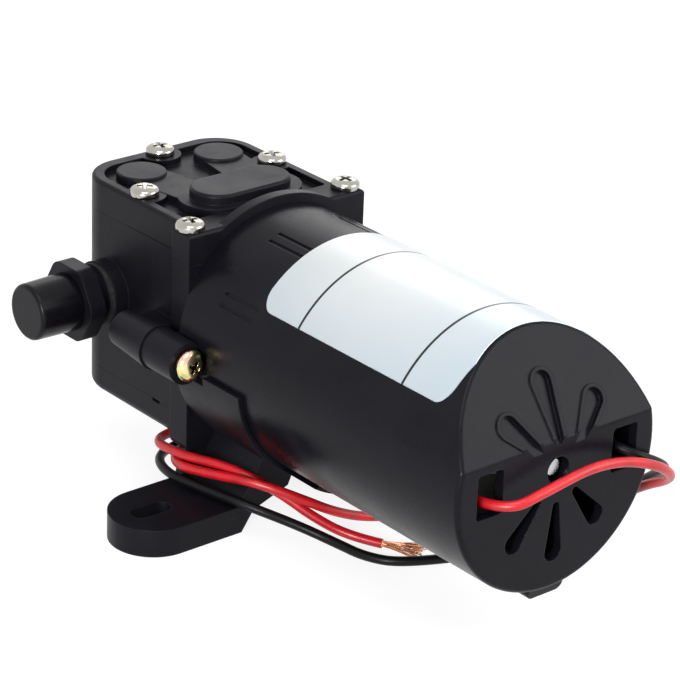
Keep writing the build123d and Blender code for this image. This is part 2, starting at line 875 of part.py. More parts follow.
retainer_screw_reach = hub_plate_thickness + diaphragm_web + retainer_thread_depth
retainer_fastener = pan_screw(
    retainer_screw_shank, retainer_screw_head, retainer_screw_head_height, retainer_screw_reach
)
with BuildPart() as retainer_screw:
    with Locations((crank_x, 0, retainer_top_z)):
        add(retainer_fastener)
retainer_screw.part.label = "retainer_screw"
export_step(retainer_screw.part, "parts/retainer_screw.step")

# Connecting rod: a ring round the eccentric's bearing and the head under the diaphragm
with BuildPart() as connecting_rod:
    with BuildSketch(across(crank_x - rod_ring_width / 2, 0, crank_pin_z)):
        Circle(rod_ring_radius)
        Circle(rod_race_outer + touch_gap, mode=Mode.SUBTRACT)
    extrude(amount=rod_ring_width)
    with BuildSketch(Plane.XY.offset(rod_head_z - rod_head_thickness)):
        with Locations((crank_x, 0)):
            SlotOverall(diaphragm_hub_size[1], diaphragm_hub_size[0], rotation=90)
    extrude(amount=rod_head_thickness - touch_gap)
    with Locations((crank_x, 0, rod_head_z)):
        Hole(retainer_screw_shank + touch_gap, retainer_thread_depth)
connecting_rod.part.label = "connecting_rod"
export_step(connecting_rod.part, "parts/connecting_rod.step")

# Ball bearing between the eccentric and the rod
rod_bearing_outer = sleeve(bearing_start_x, bearing_width, rod_race_inner, rod_race_outer, crank_pin_z)
rod_bearing_outer.label = "rod_bearing_outer"
export_step(rod_bearing_outer, "parts/rod_bearing_outer.step")

rod_bearing_balls = ball_ring(crank_x, rod_ball_pitch, rod_ball_radius, rod_ball_count, crank_pin_z)
rod_bearing_balls.label = "rod_bearing_balls"
export_step(rod_bearing_balls, "parts/rod_bearing_balls.step")

rod_bearing_inner = sleeve(
    bearing_start_x,
    bearing_width,
    eccentric_radius + touch_gap,
    rod_ball_pitch - rod_ball_radius - race_gap,
    crank_pin_z,
)
rod_bearing_inner.label = "rod_bearing_inner"
export_step(rod_bearing_inner, "parts/rod_bearing_inner.step")

# Eccentric on the motor shaft, with its counterweight opposite the throw
with BuildPart() as eccentric:
    with BuildSketch(across(bearing_start_x, 0, crank_pin_z)):
        Circle(eccentric_radius)
    extrude(amount=counterweight_start_x - bearing_start_x)
    with BuildSketch(across(counterweight_start_x)):
        Circle(counterweight_radius)
        with Locations((0, shaft_radius)):
            Rectangle(
                2 * counterweight_radius,
                counterweight_radius,
                align=(Align.CENTER, Align.MIN),
                mode=Mode.SUBTRACT,
            )
        with Locations((0, crank_throw / 2)):
            Circle(eccentric_radius + crank_throw / 2)
    extrude(amount=counterweight_width)
    with BuildSketch(across(bearing_start_x)):
        Circle(shaft_radius + touch_gap)
    extrude(amount=head_length, mode=Mode.SUBTRACT)
    with Locations(Plane(origin=(grub_screw_x, 0, axis_height), x_dir=(1, 0, 0), z_dir=(0, 0, -1))):
        with Locations((0, 0, counterweight_radius)):
            Hole(grub_screw_radius + touch_gap, counterweight_radius)
eccentric.part.label = "eccentric"
export_step(eccentric.part, "parts/eccentric.step")

with BuildPart() as eccentric_screw:
    with Locations((grub_screw_x, 0, axis_height - shaft_radius - touch_gap)):
        Cylinder(
            grub_screw_radius,
            grub_screw_length,
            align=(Align.CENTER, Align.CENTER, Align.MAX),
        )
eccentric_screw.part.label = "eccentric_screw"
export_step(eccentric_screw.part, "parts/eccentric_screw.step")

# Pump body: crank chamber, valve pockets, port bores and the first half of the side bosses
with BuildPart() as pump_body:
    with BuildSketch(Plane.XY.offset(body_bottom_z)):
        add(head_outline())
    extrude(amount=cover_seam_z - body_bottom_z)
    for side in (-1, 1):
        with BuildSketch(outward(side, dome_y)):
            Circle(port_collar_radius)
        extrude(amount=port_face_y - dome_y)
        with BuildSketch(across(tie_boss_start_x, side * tie_y, tie_z)):
            Circle(tie_boss_start_radius)
        with BuildSketch(across(tie_joint_x, side * tie_y, tie_z)):
            Circle(tie_boss_radius)
        loft()
        with BuildSketch(across(tie_boss_start_x, side * tie_y, tie_z)):
            Rectangle(
                tie_y - head_width / 2 + casing_edge_radius,
                tie_web_height,
                align=(Align.MAX if side > 0 else Align.MIN, Align.CENTER),
            )
        extrude(amount=flange_face_x - tie_boss_start_x)
    with BuildSketch(Plane.XY.offset(body_bottom_z)):
        with Locations((chamber_start_x, 0)):
            Rectangle(
                flange_face_x - chamber_start_x,
                2 * chamber_half_width,
                align=(Align.MIN, Align.CENTER),
            )
    extrude(amount=chamber_roof_z - body_bottom_z, mode=Mode.SUBTRACT)
    with BuildSketch(Plane.XY.offset(chamber_roof_z)):
        with Locations((crank_x, 0)):
            SlotOverall(pump_chamber_size[1], pump_chamber_size[0], rotation=90)
    extrude(amount=diaphragm_seat_z - chamber_roof_z, mode=Mode.SUBTRACT)
    with BuildSketch(Plane.XY.offset(diaphragm_seat_z)):
        with Locations((crank_x, 0)):
            SlotOverall(
                diaphragm_size[1] + 2 * slip_fit, diaphragm_size[0] + 2 * slip_fit, rotation=90
            )
    extrude(amount=diaphragm_rim_thickness, mode=Mode.SUBTRACT)
    with BuildSketch(Plane.XY.offset(valve_plate_z)):
        add(valve_outline())
    extrude(amount=cover_seam_z - valve_plate_z, mode=Mode.SUBTRACT)
    for side in (-1, 1):
        with Locations((dome_x, side * dome_y, valve_plate_z)):
            Hole(valve_pocket_radius, valve_pocket_depth)
            Hole(riser_radius, valve_plate_z - port_z)
        with Locations(outward(side, port_face_y)):
            Hole(port_thread_radius + slip_fit, port_thread_length + slip_fit)
            Hole(port_bore_radius, port_face_y - dome_y)
        with Locations(across(tie_joint_x, side * tie_y, tie_z)):
            Hole(tie_screw_shank + thread_bite, tie_hole_depth)
    with Locations(*[(x, y, cover_seam_z) for x, y in cover_screw_sites[2:]]):
        Hole(cover_screw_shank + thread_bite, cover_screw_reach)
    with Locations(*[(x, y, body_bottom_z) for x, y in bottom_screw_sites]):
        Cylinder(
            bottom_screw_shank + thread_bite,
            bottom_screw_reach,
            align=(Align.CENTER, Align.CENTER, Align.MIN),
            mode=Mode.SUBTRACT,
        )
pump_body.part.label = "pump_body"
export_step(pump_body.part, "parts/pump_body.step")

# Bottom cover, a shallow tray under the crank chamber
with BuildPart() as bottom_cover:
    with BuildSketch(Plane.XY.offset(head_bottom_z)):
        add(head_outline())
    extrude(amount=bottom_cover_height)
    fillet(bottom_cover.faces().sort_by(Axis.Z)[0].edges(), radius=lower_edge_radius)
    with BuildSketch(Plane.XY.offset(body_bottom_z)):
        add(head_outline(pedestal_wall))
        with Locations(*bottom_screw_sites):
            Circle(bottom_screw_head + pedestal_wall, mode=Mode.SUBTRACT)
    extrude(amount=-(bottom_cover_height - pedestal_wall), mode=Mode.SUBTRACT)
    with Locations(*[(x, y, body_bottom_z) for x, y in bottom_screw_sites]):
        Hole(bottom_screw_shank + loose_fit, bottom_cover_height)
    with Locations(*[(x, y, head_bottom_z) for x, y in bottom_screw_sites]):
        Cylinder(
            bottom_screw_head + loose_fit,
            bottom_screw_head_height,
            align=(Align.CENTER, Align.CENTER, Align.MIN),
            mode=Mode.SUBTRACT,
        )
    for side in (-1, 1):
        with Locations((crank_x, side * head_width / 2, body_bottom_z)):
            Box(*pry_notch, align=(Align.CENTER, Align.CENTER, Align.MAX), mode=Mode.SUBTRACT)
bottom_cover.part.label = "bottom_cover"
export_step(bottom_cover.part, "parts/bottom_cover.step")

bottom_screw = pan_screw(
    bottom_screw_shank, bottom_screw_head, bottom_screw_head_height - loose_fit, bottom_screw_reach
)
with BuildPart() as bottom_screws:
    for x, y in bottom_screw_sites:
        with Locations(
            Plane(
                origin=(x, y, head_bottom_z + bottom_screw_head_height),
                x_dir=(1, 0, 0),
                z_dir=(0, 0, -1),
            )
        ):
            add(bottom_screw)
bottom_screws.part.label = "bottom_screws"
export_step(bottom_screws.part, "parts/bottom_screws.step")

# Flange between the head and the motor
with BuildPart() as motor_flange:
    with BuildSketch(across(flange_face_x)):
        with Locations((0, head_bottom_z - axis_height)):
            Rectangle(ear_width, cover_seam_z - head_bottom_z, align=(Align.CENTER, Align.MIN))
    extrude(amount=flange_thickness)
    fillet(motor_flange.edges().filter_by(Axis.X).group_by(Axis.Z)[0], radius=lower_edge_radius)
    for side in (-1, 1):
        with BuildSketch(across(tie_joint_x, side * tie_y, tie_z)):
            Circle(tie_boss_end_radius)
        extrude(amount=tie_boss_end_x - tie_joint_x)
        with BuildSketch(across(tie_joint_x, side * tie_y, tie_z)):
            Rectangle(
                tie_y - ear_width / 2 + casing_edge_radius,
                tie_web_height,
                align=(Align.MAX if side > 0 else Align.MIN, Align.CENTER),
            )
        extrude(amount=shroud_start_x - tie_joint_x)
    with BuildSketch(across(shroud_start_x)):
        Circle(shroud_radius + slip_fit)
    extrude(amount=shroud_length, mode=Mode.SUBTRACT)
    with BuildSketch(across(shroud_start_x)):
        Circle(shroud_radius - shroud_wall - slip_fit)
        Circle(can_radius + slip_fit, mode=Mode.SUBTRACT)
    extrude(amount=spigot_length)
    with Locations(across(shroud_start_x)):
        Hole(pilot_radius + slip_fit, flange_thickness)
        with Locations((-motor_screw_offset, 0), (motor_screw_offset, 0)):
            Hole(motor_screw_shank + loose_fit, flange_thickness)
    for side in (-1, 1):
        with Locations(across(tie_boss_end_x, side * tie_y, tie_z)):
            Hole(tie_screw_shank + loose_fit, tie_boss_end_x - tie_joint_x)
    with Locations(*[(x, y, cover_seam_z) for x, y in cover_screw_sites[:2]]):
        Hole(cover_screw_shank + thread_bite, cover_screw_reach)
    with Locations(*[(base_screw_x, side * base_screw_y, head_bottom_z) for side in (-1, 1)]):
        Cylinder(
            base_screw_shank + thread_bite,
            base_screw_reach,
            align=(Align.CENTER, Align.CENTER, Align.MIN),
            mode=Mode.SUBTRACT,
        )
motor_flange.part.label = "motor_flange"
export_step(motor_flange.part, "parts/motor_flange.step")

# Yellow screws that clamp the flange to the body through the side bosses
tie_screw = pan_screw(tie_screw_shank, tie_screw_head, tie_screw_head_height, tie_screw_reach)
with BuildPart() as tie_screws:
    for side in (-1, 1):
        with Locations(across(tie_boss_end_x, side * tie_y, tie_z)):
            add(tie_screw)
tie_screws.part.label = "tie_screws"
export_step(tie_screws.part, "parts/tie_screws.step")

# Screws that hold the motor to the flange, from inside the crank chamber
motor_screw = pan_screw(
    motor_screw_shank, motor_screw_head, motor_screw_head_height, motor_screw_reach
)
with BuildPart() as motor_screws:
    for side in (-1, 1):
        with Locations(
            Plane(
                origin=(flange_face_x, side * motor_screw_offset, axis_height),
                x_dir=(0, 1, 0),
                z_dir=(-1, 0, 0),
            )
        ):
            add(motor_screw)
motor_screws.part.label = "motor_screws"
export_step(motor_screws.part, "parts/motor_screws.step")

# Ports, their seals and their push-on caps
inlet_fitting = port_fitting(-1)
inlet_fitting.label = "inlet_fitting"
export_step(inlet_fitting, "parts/inlet_fitting.step")

outlet_fitting = port_fitting(1)
outlet_fitting.label = "outlet_fitting"
export_step(outlet_fitting, "parts/outlet_fitting.step")

with BuildPart() as port_seals:
    for side in (-1, 1):
        with BuildSketch(outward(side, port_face_y)):
            Circle(port_seal_radius)
            Circle(port_thread_radius + slip_fit, mode=Mode.SUBTRACT)
        extrude(amount=port_seal_thickness)
port_seals.part.label = "port_seals"
export_step(port_seals.part, "parts/port_seals.step")

inlet_cap = port_cap(-1)
inlet_cap.label = "inlet_cap"
export_step(inlet_cap, "parts/inlet_cap.step")

outlet_cap = port_cap(1)
outlet_cap.label = "outlet_cap"
export_step(outlet_cap, "parts/outlet_cap.step")

# Mounting base: a cradle under the motor on a pedestal with two slotted feet
with BuildPart() as mounting_base:
    with BuildSketch(across(pedestal_start_x)):
        with BuildLine():
            Polyline(
                (-pedestal_foot_half - casing_edge_radius, -axis_height),
                (-pedestal_foot_half, foot_thickness - axis_height),
                (-pedestal_neck_half, pedestal_neck_z - axis_height),
                (pedestal_neck_half, pedestal_neck_z - axis_height),
                (pedestal_foot_half, foot_thickness - axis_height),
                (pedestal_foot_half + casing_edge_radius, -axis_height),
                close=True,
            )
        make_face()
    extrude(amount=pedestal_end_x - pedestal_start_x)
    with BuildSketch(across(cradle_start_x)):
        Circle(shroud_radius + base_gap + cradle_wall)
        with Locations((0, cradle_top_z - axis_height)):
            Rectangle(
                3 * shroud_radius,
                2 * shroud_radius,
                align=(Align.CENTER, Align.MIN),
                mode=Mode.SUBTRACT,
            )
    extrude(amount=cradle_length)
    with BuildSketch(across(cradle_start_x + cradle_length)):
        Circle(shroud_radius + base_gap + cradle_wall)
        with Locations((0, -shroud_radius * cos(radians(keel_half_angle)))):
            Rectangle(
                3 * shroud_radius,
                3 * shroud_radius,
                align=(Align.CENTER, Align.MIN),
                mode=Mode.SUBTRACT,
            )
    extrude(amount=keel_length)
    for side in (-1, 1):
        with BuildSketch() as foot:
            with Locations(((foot_start_x + pedestal_end_x) / 2, side * relief_half)):
                Rectangle(
                    foot_width,
                    foot_span / 2 - relief_half,
                    align=(Align.CENTER, Align.MIN if side > 0 else Align.MAX),
                )
            fillet(
                foot.vertices().group_by(Axis.Y)[0 if side < 0 else -1],
                radius=foot_width / 2 - touch_gap,
            )
            with Locations(((foot_start_x + pedestal_end_x) / 2, side * slot_spacing / 2)):
                SlotOverall(slot_length, slot_width, rotation=90, mode=Mode.SUBTRACT)
        extrude(amount=foot_thickness)
    with BuildSketch(across(pedestal_start_x)):
        with BuildLine():
            Polyline(
                (-foot_inner_half, -axis_height),
                (-relief_half, relief_height - axis_height),
                (-arch_foot_half, arch_foot_z - axis_height),
                (-arch_half, arch_roof_z - axis_height),
                (arch_half, arch_roof_z - axis_height),
                (arch_foot_half, arch_foot_z - axis_height),
                (relief_half, relief_height - axis_height),
                (foot_inner_half, -axis_height),
                close=True,
            )
        make_face()
    extrude(amount=pedestal_end_x - pedestal_start_x, mode=Mode.SUBTRACT)
    with BuildSketch(across(shroud_start_x - loose_fit)):
        Circle(shroud_radius + base_gap)
    extrude(amount=shroud_length, mode=Mode.SUBTRACT)
    with BuildSketch(Plane.XY.offset(head_bottom_z)):
        with Locations((pedestal_start_x - loose_fit, 0)):
            Rectangle(
                cradle_start_x - pedestal_start_x + loose_fit,
                2 * ear_width,
                align=(Align.MIN, Align.CENTER),
            )
    extrude(amount=axis_height, mode=Mode.SUBTRACT)
    for side in (-1, 1):
        with BuildSketch(across(cradle_start_x, side * tie_y, tie_z)):
            Circle(tie_boss_radius + loose_fit)
        extrude(amount=tie_head_end_x + loose_fit - cradle_start_x, mode=Mode.SUBTRACT)
        with Locations((base_screw_x, side * base_screw_y, base_seat_z)):
            Cylinder(
                base_screw_head + loose_fit,
                base_seat_z,
                align=(Align.CENTER, Align.CENTER, Align.MAX),
                mode=Mode.SUBTRACT,
            )
            Cylinder(
                base_screw_shank + loose_fit,
                head_bottom_z - base_seat_z,
                align=(Align.CENTER, Align.CENTER, Align.MIN),
                mode=Mode.SUBTRACT,
            )
mounting_base.part.label = "mounting_base"
export_step(mounting_base.part, "parts/mounting_base.step")

base_screw = pan_screw(base_screw_shank, base_screw_head, base_screw_head_height, base_screw_reach)
with BuildPart() as base_screws:
    for side in (-1, 1):
        with Locations(
            Plane(
                origin=(base_screw_x, side * base_screw_y, base_seat_z),
                x_dir=(1, 0, 0),
                z_dir=(0, 0, -1),
            )
        ):
            add(base_screw)
base_screws.part.label = "base_screws"
export_step(base_screws.part, "parts/base_screws.step")

# Motor shroud: a plastic cup with a sloping end
shroud_outside = sloping_barrel(shroud_radius, 0)
shroud_inside = sloping_barrel(shroud_radius - shroud_wall, shroud_wall)
with BuildPart() as motor_shroud:
    add(shroud_outside)
    fillet(motor_shroud.edges().filter_by(Axis.Y), radius=ridge_radius)
    end_edges = motor_shroud.edges().filter_by_position(
        Axis.X, slope_top_x - loose_fit, shroud_end_x + loose_fit
    )
    fillet(end_edges.filter_by(GeomType.LINE, reverse=True), radius=shroud_edge_radius)
    add(shroud_inside, mode=Mode.SUBTRACT)
    for turn in range(rib_count):
        with BuildSketch(across(rib_start_x)):
            with PolarLocations(can_radius + touch_gap, 1, start_angle=turn * 360 / rib_count):
                Rectangle(
                    shroud_radius - can_radius - shroud_wall / 2,
                    rib_width,
                    align=(Align.MIN, Align.CENTER),
                )
        extrude(amount=rib_length)
    for shape in leaf_fan(-90, vent_outer_radius, vent_middle_extra):
        with BuildSketch(across(shroud_end_x)):
            add(shape)
        extrude(amount=-2 * shroud_wall, mode=Mode.SUBTRACT)
    for shape in leaf_fan(90, leaf_outer_radius, leaf_middle_extra, leaf_bead_width):
        with BuildSketch(slope_plane.offset(-leaf_recess)):
            add(shape)
        extrude(amount=leaf_recess + leaf_bead_height)
    for shape in leaf_fan(90, leaf_outer_radius, leaf_middle_extra):
        with BuildSketch(slope_plane.offset(-leaf_recess)):
            add(shape)
        extrude(amount=2 * leaf_recess, mode=Mode.SUBTRACT)
    with BuildSketch(across(shroud_end_x)):
        Circle(shroud_radius)
    extrude(amount=shroud_wall, mode=Mode.SUBTRACT)
    with BuildSketch(across(shroud_end_x)):
        Circle(shaft_hole_radius)
        with Locations((-lead_window_y, -lead_window_drop), (lead_window_y, -lead_window_drop)):
            RectangleRounded(*lead_window, casing_edge_radius)
    extrude(amount=-2 * shroud_wall, mode=Mode.SUBTRACT)
    for angle in groove_angles:
        for turn in (angle - groove_half_step, angle + groove_half_step):
            with BuildSketch(across(groove_start_x)):
                with PolarLocations(shroud_radius - groove_depth, 1, start_angle=turn):
                    Rectangle(shroud_wall, groove_width, align=(Align.MIN, Align.CENTER))
            extrude(amount=groove_length, mode=Mode.SUBTRACT)
    for side in (-1, 1):
        with BuildSketch(across(tie_boss_end_x - loose_fit, side * tie_y, tie_z)):
            Circle(tie_screw_head + 2 * loose_fit)
        extrude(amount=tie_screw_head_height + 2 * loose_fit, mode=Mode.SUBTRACT)
    with BuildSketch(Plane.XZ):
        with BuildLine():
            Polyline(
                (tail_nub_start_x, tail_nub_root_z),
                (tail_nub_start_x + casing_edge_radius, tail_nub_tip_z),
                (tail_nub_start_x + tail_nub_length - casing_edge_radius, tail_nub_tip_z),
                (tail_nub_start_x + tail_nub_length, tail_nub_root_z),
                close=True,
            )
        make_face()
    extrude(amount=tail_nub_width / 2, both=True)
    nub_edges = motor_shroud.edges().filter_by(Axis.X).group_by(Axis.Z)[0]
    fillet(nub_edges, radius=tail_nub_edge_radius)
motor_shroud.part.label = "motor_shroud"
export_step(motor_shroud.part, "parts/motor_shroud.step")

# Label wrapped over the top of the shroud
with BuildPart() as label:
    with BuildSketch(across(label_start_x)):
        Circle(shroud_radius + touch_gap + label_thickness)
        Circle(shroud_radius + touch_gap, mode=Mode.SUBTRACT)
    extrude(amount=label_length)
    with BuildSketch(Plane.XY.offset(axis_height)):
        with Locations((label_start_x + label_length / 2, 0)):
            RectangleRounded(
                label_length,
                2 * shroud_radius * cos(radians(label_edge_angle)),
                label_corner,
            )
    extrude(amount=2 * shroud_radius, mode=Mode.INTERSECT)
    add(sloping_barrel(shroud_radius + shroud_wall, label_edge_gap), mode=Mode.INTERSECT)
label.part.label = "label"
export_step(label.part, "parts/label.step")

# Motor can, end plates and bearings
motor_can = sleeve(can_start_x, can_length, can_inner_radius, can_radius)
motor_can.label = "motor_can"
export_step(motor_can, "parts/motor_can.step")

magnet_turns = (90, -90)
with BuildPart() as magnets:
    for turn in magnet_turns:
        add(magnet(turn))
magnets.part.label = "magnets"
export_step(magnets.part, "parts/magnets.step")

with BuildPart() as front_end_plate:
    with BuildSketch(across(shroud_start_x - pilot_length)):
        Circle(pilot_radius)
    extrude(amount=pilot_length)
    with BuildSketch(across(shroud_start_x)):
        Circle(can_radius)
    extrude(amount=end_plate_thickness)
    with BuildSketch(across(can_start_x)):
        Circle(can_inner_radius - slip_fit)
    extrude(amount=plate_register)
    with Locations(across(shroud_start_x - pilot_length)):
        with Locations((-motor_screw_offset, 0), (motor_screw_offset, 0)):
            Cylinder(
                motor_screw_shank + thread_bite,
                4 * end_plate_thickness,
                mode=Mode.SUBTRACT,
            )
    with BuildSketch(across(shroud_start_x - pilot_length)):
        Circle(front_bearing_radius + touch_gap)
    extrude(
        amount=front_bearing_start_x + bearing_width - shroud_start_x + pilot_length,
        mode=Mode.SUBTRACT,
    )
    with BuildSketch(across(shroud_start_x - pilot_length)):
        Circle(shaft_radius + casing_edge_radius)
    extrude(amount=head_length, mode=Mode.SUBTRACT)
front_end_plate.part.label = "front_end_plate"
export_step(front_end_plate.part, "parts/front_end_plate.step")

front_bearing_outer = sleeve(
    front_bearing_start_x, bearing_width, front_race_outer, front_bearing_radius
)
front_bearing_outer.label = "front_bearing_outer"
export_step(front_bearing_outer, "parts/front_bearing_outer.step")

front_bearing_balls = ball_ring(
    front_bearing_start_x + bearing_width / 2,
    (front_race_inner + front_race_outer) / 2,
    front_ball_radius,
    front_ball_count,
    axis_height,
)
front_bearing_balls.label = "front_bearing_balls"
export_step(front_bearing_balls, "parts/front_bearing_balls.step")

front_bearing_inner = sleeve(
    front_bearing_start_x, bearing_width, shaft_radius + touch_gap, front_race_inner
)
front_bearing_inner.label = "front_bearing_inner"
export_step(front_bearing_inner, "parts/front_bearing_inner.step")

with BuildPart() as rear_end_plate:
    with BuildSketch(across(can_end_x - plate_register)):
        Circle(can_inner_radius - slip_fit)
    extrude(amount=plate_register)
    with BuildSketch(across(can_end_x)):
        Circle(can_radius)
    extrude(amount=end_plate_thickness)
    with BuildSketch(across(can_end_x + end_plate_thickness)):
        Circle(rear_hub_radius)
    extrude(amount=rear_hub_length)
    with BuildSketch(across(can_end_x - plate_register)):
        Circle(bush_radius + touch_gap)
    extrude(amount=head_length, mode=Mode.SUBTRACT)
rear_end_plate.part.label = "rear_end_plate"
export_step(rear_end_plate.part, "parts/rear_end_plate.step")

rear_bush = sleeve(
    can_end_x - plate_register,
    plate_register + end_plate_thickness + rear_hub_length,
    shaft_tail_radius + race_gap / 2,
    bush_radius,
)
rear_bush.label = "rear_bush"
export_step(rear_bush, "parts/rear_bush.step")

# Rotor
with BuildPart() as motor_shaft:
    with BuildSketch(across(shaft_start_x)):
        Circle(shaft_radius)
    extrude(amount=shaft_step_x - shaft_start_x)
    with BuildSketch(across(shaft_step_x)):
        Circle(shaft_tail_radius)
    extrude(amount=shaft_end_x - shaft_step_x)
motor_shaft.part.label = "motor_shaft"
export_step(motor_shaft.part, "parts/motor_shaft.step")

with BuildPart() as armature_core:
    with BuildSketch(across(core_start_x)):
        Circle(core_radius)
        Circle(shaft_radius + touch_gap, mode=Mode.SUBTRACT)
        with PolarLocations(slot_inner_radius, slot_count):
            Rectangle(
                slot_outer_radius - slot_inner_radius,
                slot_body_width,
                align=(Align.MIN, Align.CENTER),
                mode=Mode.SUBTRACT,
            )
            Rectangle(
                core_radius,
                slot_opening,
                align=(Align.MIN, Align.CENTER),
                mode=Mode.SUBTRACT,
            )
    extrude(amount=core_length)
armature_core.part.label = "armature_core"
export_step(armature_core.part, "parts/armature_core.step")

with BuildPart() as windings:
    with BuildSketch(across(core_start_x)):
        with PolarLocations(slot_inner_radius + slip_fit, slot_count):
            Rectangle(
                slot_outer_radius - slot_inner_radius - 2 * slip_fit,
                slot_body_width - 2 * slip_fit,
                align=(Align.MIN, Align.CENTER),
            )
    extrude(amount=core_length)
    for start_x in (core_start_x - winding_end_length, core_start_x + core_length):
        with BuildSketch(across(start_x)):
            Circle(slot_outer_radius - loose_fit)
            Circle(slot_inner_radius - slip_fit, mode=Mode.SUBTRACT)
        extrude(amount=winding_end_length)
windings.part.label = "windings"
export_step(windings.part, "parts/windings.step")

with BuildPart() as commutator:
    with BuildSketch(across(commutator_start_x)):
        Circle(commutator_radius)
        Circle(shaft_radius + touch_gap, mode=Mode.SUBTRACT)
        with PolarLocations(commutator_radius - segment_depth, slot_count):
            Rectangle(
                2 * segment_depth,
                segment_gap,
                align=(Align.MIN, Align.CENTER),
                mode=Mode.SUBTRACT,
            )
    extrude(amount=commutator_length)
commutator.part.label = "commutator"
export_step(commutator.part, "parts/commutator.step")

# Brush gear on the rear plate
with BuildPart() as brush_holder:
    with BuildSketch(across(holder_plate_x)):
        Circle(can_inner_radius - loose_fit)
        Circle(commutator_radius + holder_wall, mode=Mode.SUBTRACT)
    extrude(amount=can_end_x - plate_register - holder_plate_x)
    for side in (-1, 1):
        with Locations(Plane(origin=(brush_x, 0, axis_height), x_dir=(1, 0, 0), z_dir=(0, 0, side))):
            with Locations((0, 0, commutator_radius + holder_wall)):
                Box(
                    brush_size[0] + 2 * holder_wall,
                    brush_size[1] + 2 * holder_wall,
                    spring_end_radius - commutator_radius,
                    align=(Align.CENTER, Align.CENTER, Align.MIN),
                )
                Box(
                    brush_size[0] + 2 * brush_gap,
                    brush_size[1] + 2 * brush_gap,
                    spring_end_radius - commutator_radius - holder_wall,
                    align=(Align.CENTER, Align.CENTER, Align.MIN),
                    mode=Mode.SUBTRACT,
                )
brush_holder.part.label = "brush_holder"
export_step(brush_holder.part, "parts/brush_holder.step")

for name, side in (("upper", 1), ("lower", -1)):
    carbon_brush = brush(side)
    carbon_brush.label = name + "_brush"
    export_step(carbon_brush, f"parts/{name}_brush.step")
    spring = brush_spring(side)
    spring.label = name + "_brush_spring"
    export_step(spring, f"parts/{name}_brush_spring.step")

with BuildPart() as terminals:
    for _, lead_y, lead_z in (red_lead_points[0], black_lead_points[0]):
        with Locations((terminal_end_x, lead_y, lead_z)):
            Box(*terminal_size, align=(Align.MAX, Align.CENTER, Align.CENTER))
terminals.part.label = "terminals"
export_step(terminals.part, "parts/terminals.step")

# Leads with bared ends
red_lead = lead_tube(from_terminal(red_lead_points), lead_diameter)
red_lead.label = "red_lead"
export_step(red_lead, "parts/red_lead.step")

black_lead = lead_tube(from_terminal(black_lead_points), lead_diameter)
black_lead.label = "black_lead"
export_step(black_lead, "parts/black_lead.step")

red_lead_end = lead_tube(red_end_points, strand_diameter)
red_lead_end.label = "red_lead_end"
export_step(red_lead_end, "parts/red_lead_end.step")

black_lead_end = lead_tube(black_end_points, strand_diameter)
black_lead_end.label = "black_lead_end"
export_step(black_lead_end, "parts/black_lead_end.step")
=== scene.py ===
import json
import math
import random

import bmesh
import bpy
from mathutils import Matrix, Vector


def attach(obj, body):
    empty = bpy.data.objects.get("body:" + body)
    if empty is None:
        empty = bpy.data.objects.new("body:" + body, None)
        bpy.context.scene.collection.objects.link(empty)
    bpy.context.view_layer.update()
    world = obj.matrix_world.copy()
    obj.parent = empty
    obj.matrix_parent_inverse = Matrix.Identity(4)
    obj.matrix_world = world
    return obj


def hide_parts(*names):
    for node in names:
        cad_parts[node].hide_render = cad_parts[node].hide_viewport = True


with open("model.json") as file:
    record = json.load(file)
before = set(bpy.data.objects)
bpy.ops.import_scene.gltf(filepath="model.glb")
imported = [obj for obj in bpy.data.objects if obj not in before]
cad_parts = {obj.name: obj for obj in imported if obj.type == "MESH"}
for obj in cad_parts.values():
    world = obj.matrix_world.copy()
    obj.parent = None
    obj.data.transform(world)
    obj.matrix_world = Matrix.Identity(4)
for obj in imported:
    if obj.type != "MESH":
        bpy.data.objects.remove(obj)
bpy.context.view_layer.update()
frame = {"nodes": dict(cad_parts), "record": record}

# Looks of a small diaphragm water pump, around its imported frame.
# Sizes and places are in millimetres, and MM turns them into metres.

MM = 0.001

# Sockets of a Mix node that is set to colours
MIX_COLOUR_INPUTS = (6, 7)
MIX_COLOUR_OUTPUT = 2

nodes = frame["nodes"]
scene = bpy.context.scene
scene.view_settings.view_transform = "Standard"

# Layout shared with the model
cover_screw_sites = [
    (-28.35, -23.9, 71.4),
    (-28.35, 23.9, 71.4),
    (-52.35, -19.8, 71.4),
    (-52.35, 19.8, 71.4),
    (-72.95, 0, 71.4),
]
tie_screw_sites = [(-16.4, -33.2, 42.9), (-16.4, 33.2, 42.9)]
bottom_screw_sites = [(-70, -16.5, 15.7), (-70, 16.5, 15.7), (-37, -20, 15.7), (-37, 20, 15.7)]
base_screw_sites = [(-27.9, -15, 10.6), (-27.9, 15, 10.6)]
head_casings = ("top_cover", "pump_body", "bottom_cover")
head_seams_z = (21.3, 63.5)
label_length = 65
label_bluish_y = -27
label_plain_y = -9
ruled_lines_x = (14, 50.5)

# Camera, solved from the photograph. Angles are in degrees.
camera_place = (499.05, -424.2, 341.5)
camera_azimuth = 40.37
camera_elevation = 24.24
camera_roll = 2.19
camera_lens = 158.8
camera_sensor = 36

# Studio lamps: place, spot aimed at, side and power in watts
lamps = {
    "key_lamp": ((200, -200, 780), (0, 0, 45), 420, 1.8),
    "far_lamp": ((-560, 520, 390), (0, 0, 45), 420, 0.7),
    "end_lamp": ((580, 470, 400), (40, 0, 45), 560, 3.1),
    "fill_lamp": ((420, -620, 240), (0, 0, 15), 240, 5),
}

# Studio floor and surroundings
floor_reach = 3000
floor_drop = 0.2
floor_grey = 0.25
floor_glow = 0.85
ceiling_direction = (0, 0.8, 0.75)
dark_side_facing = 0.05
dark_side_light = 0.05
ceiling_facing = 0.5
ceiling_light = 0.88
cool_light = (0.93, 0.95, 1, 1)
plain_white = (1, 1, 1, 1)

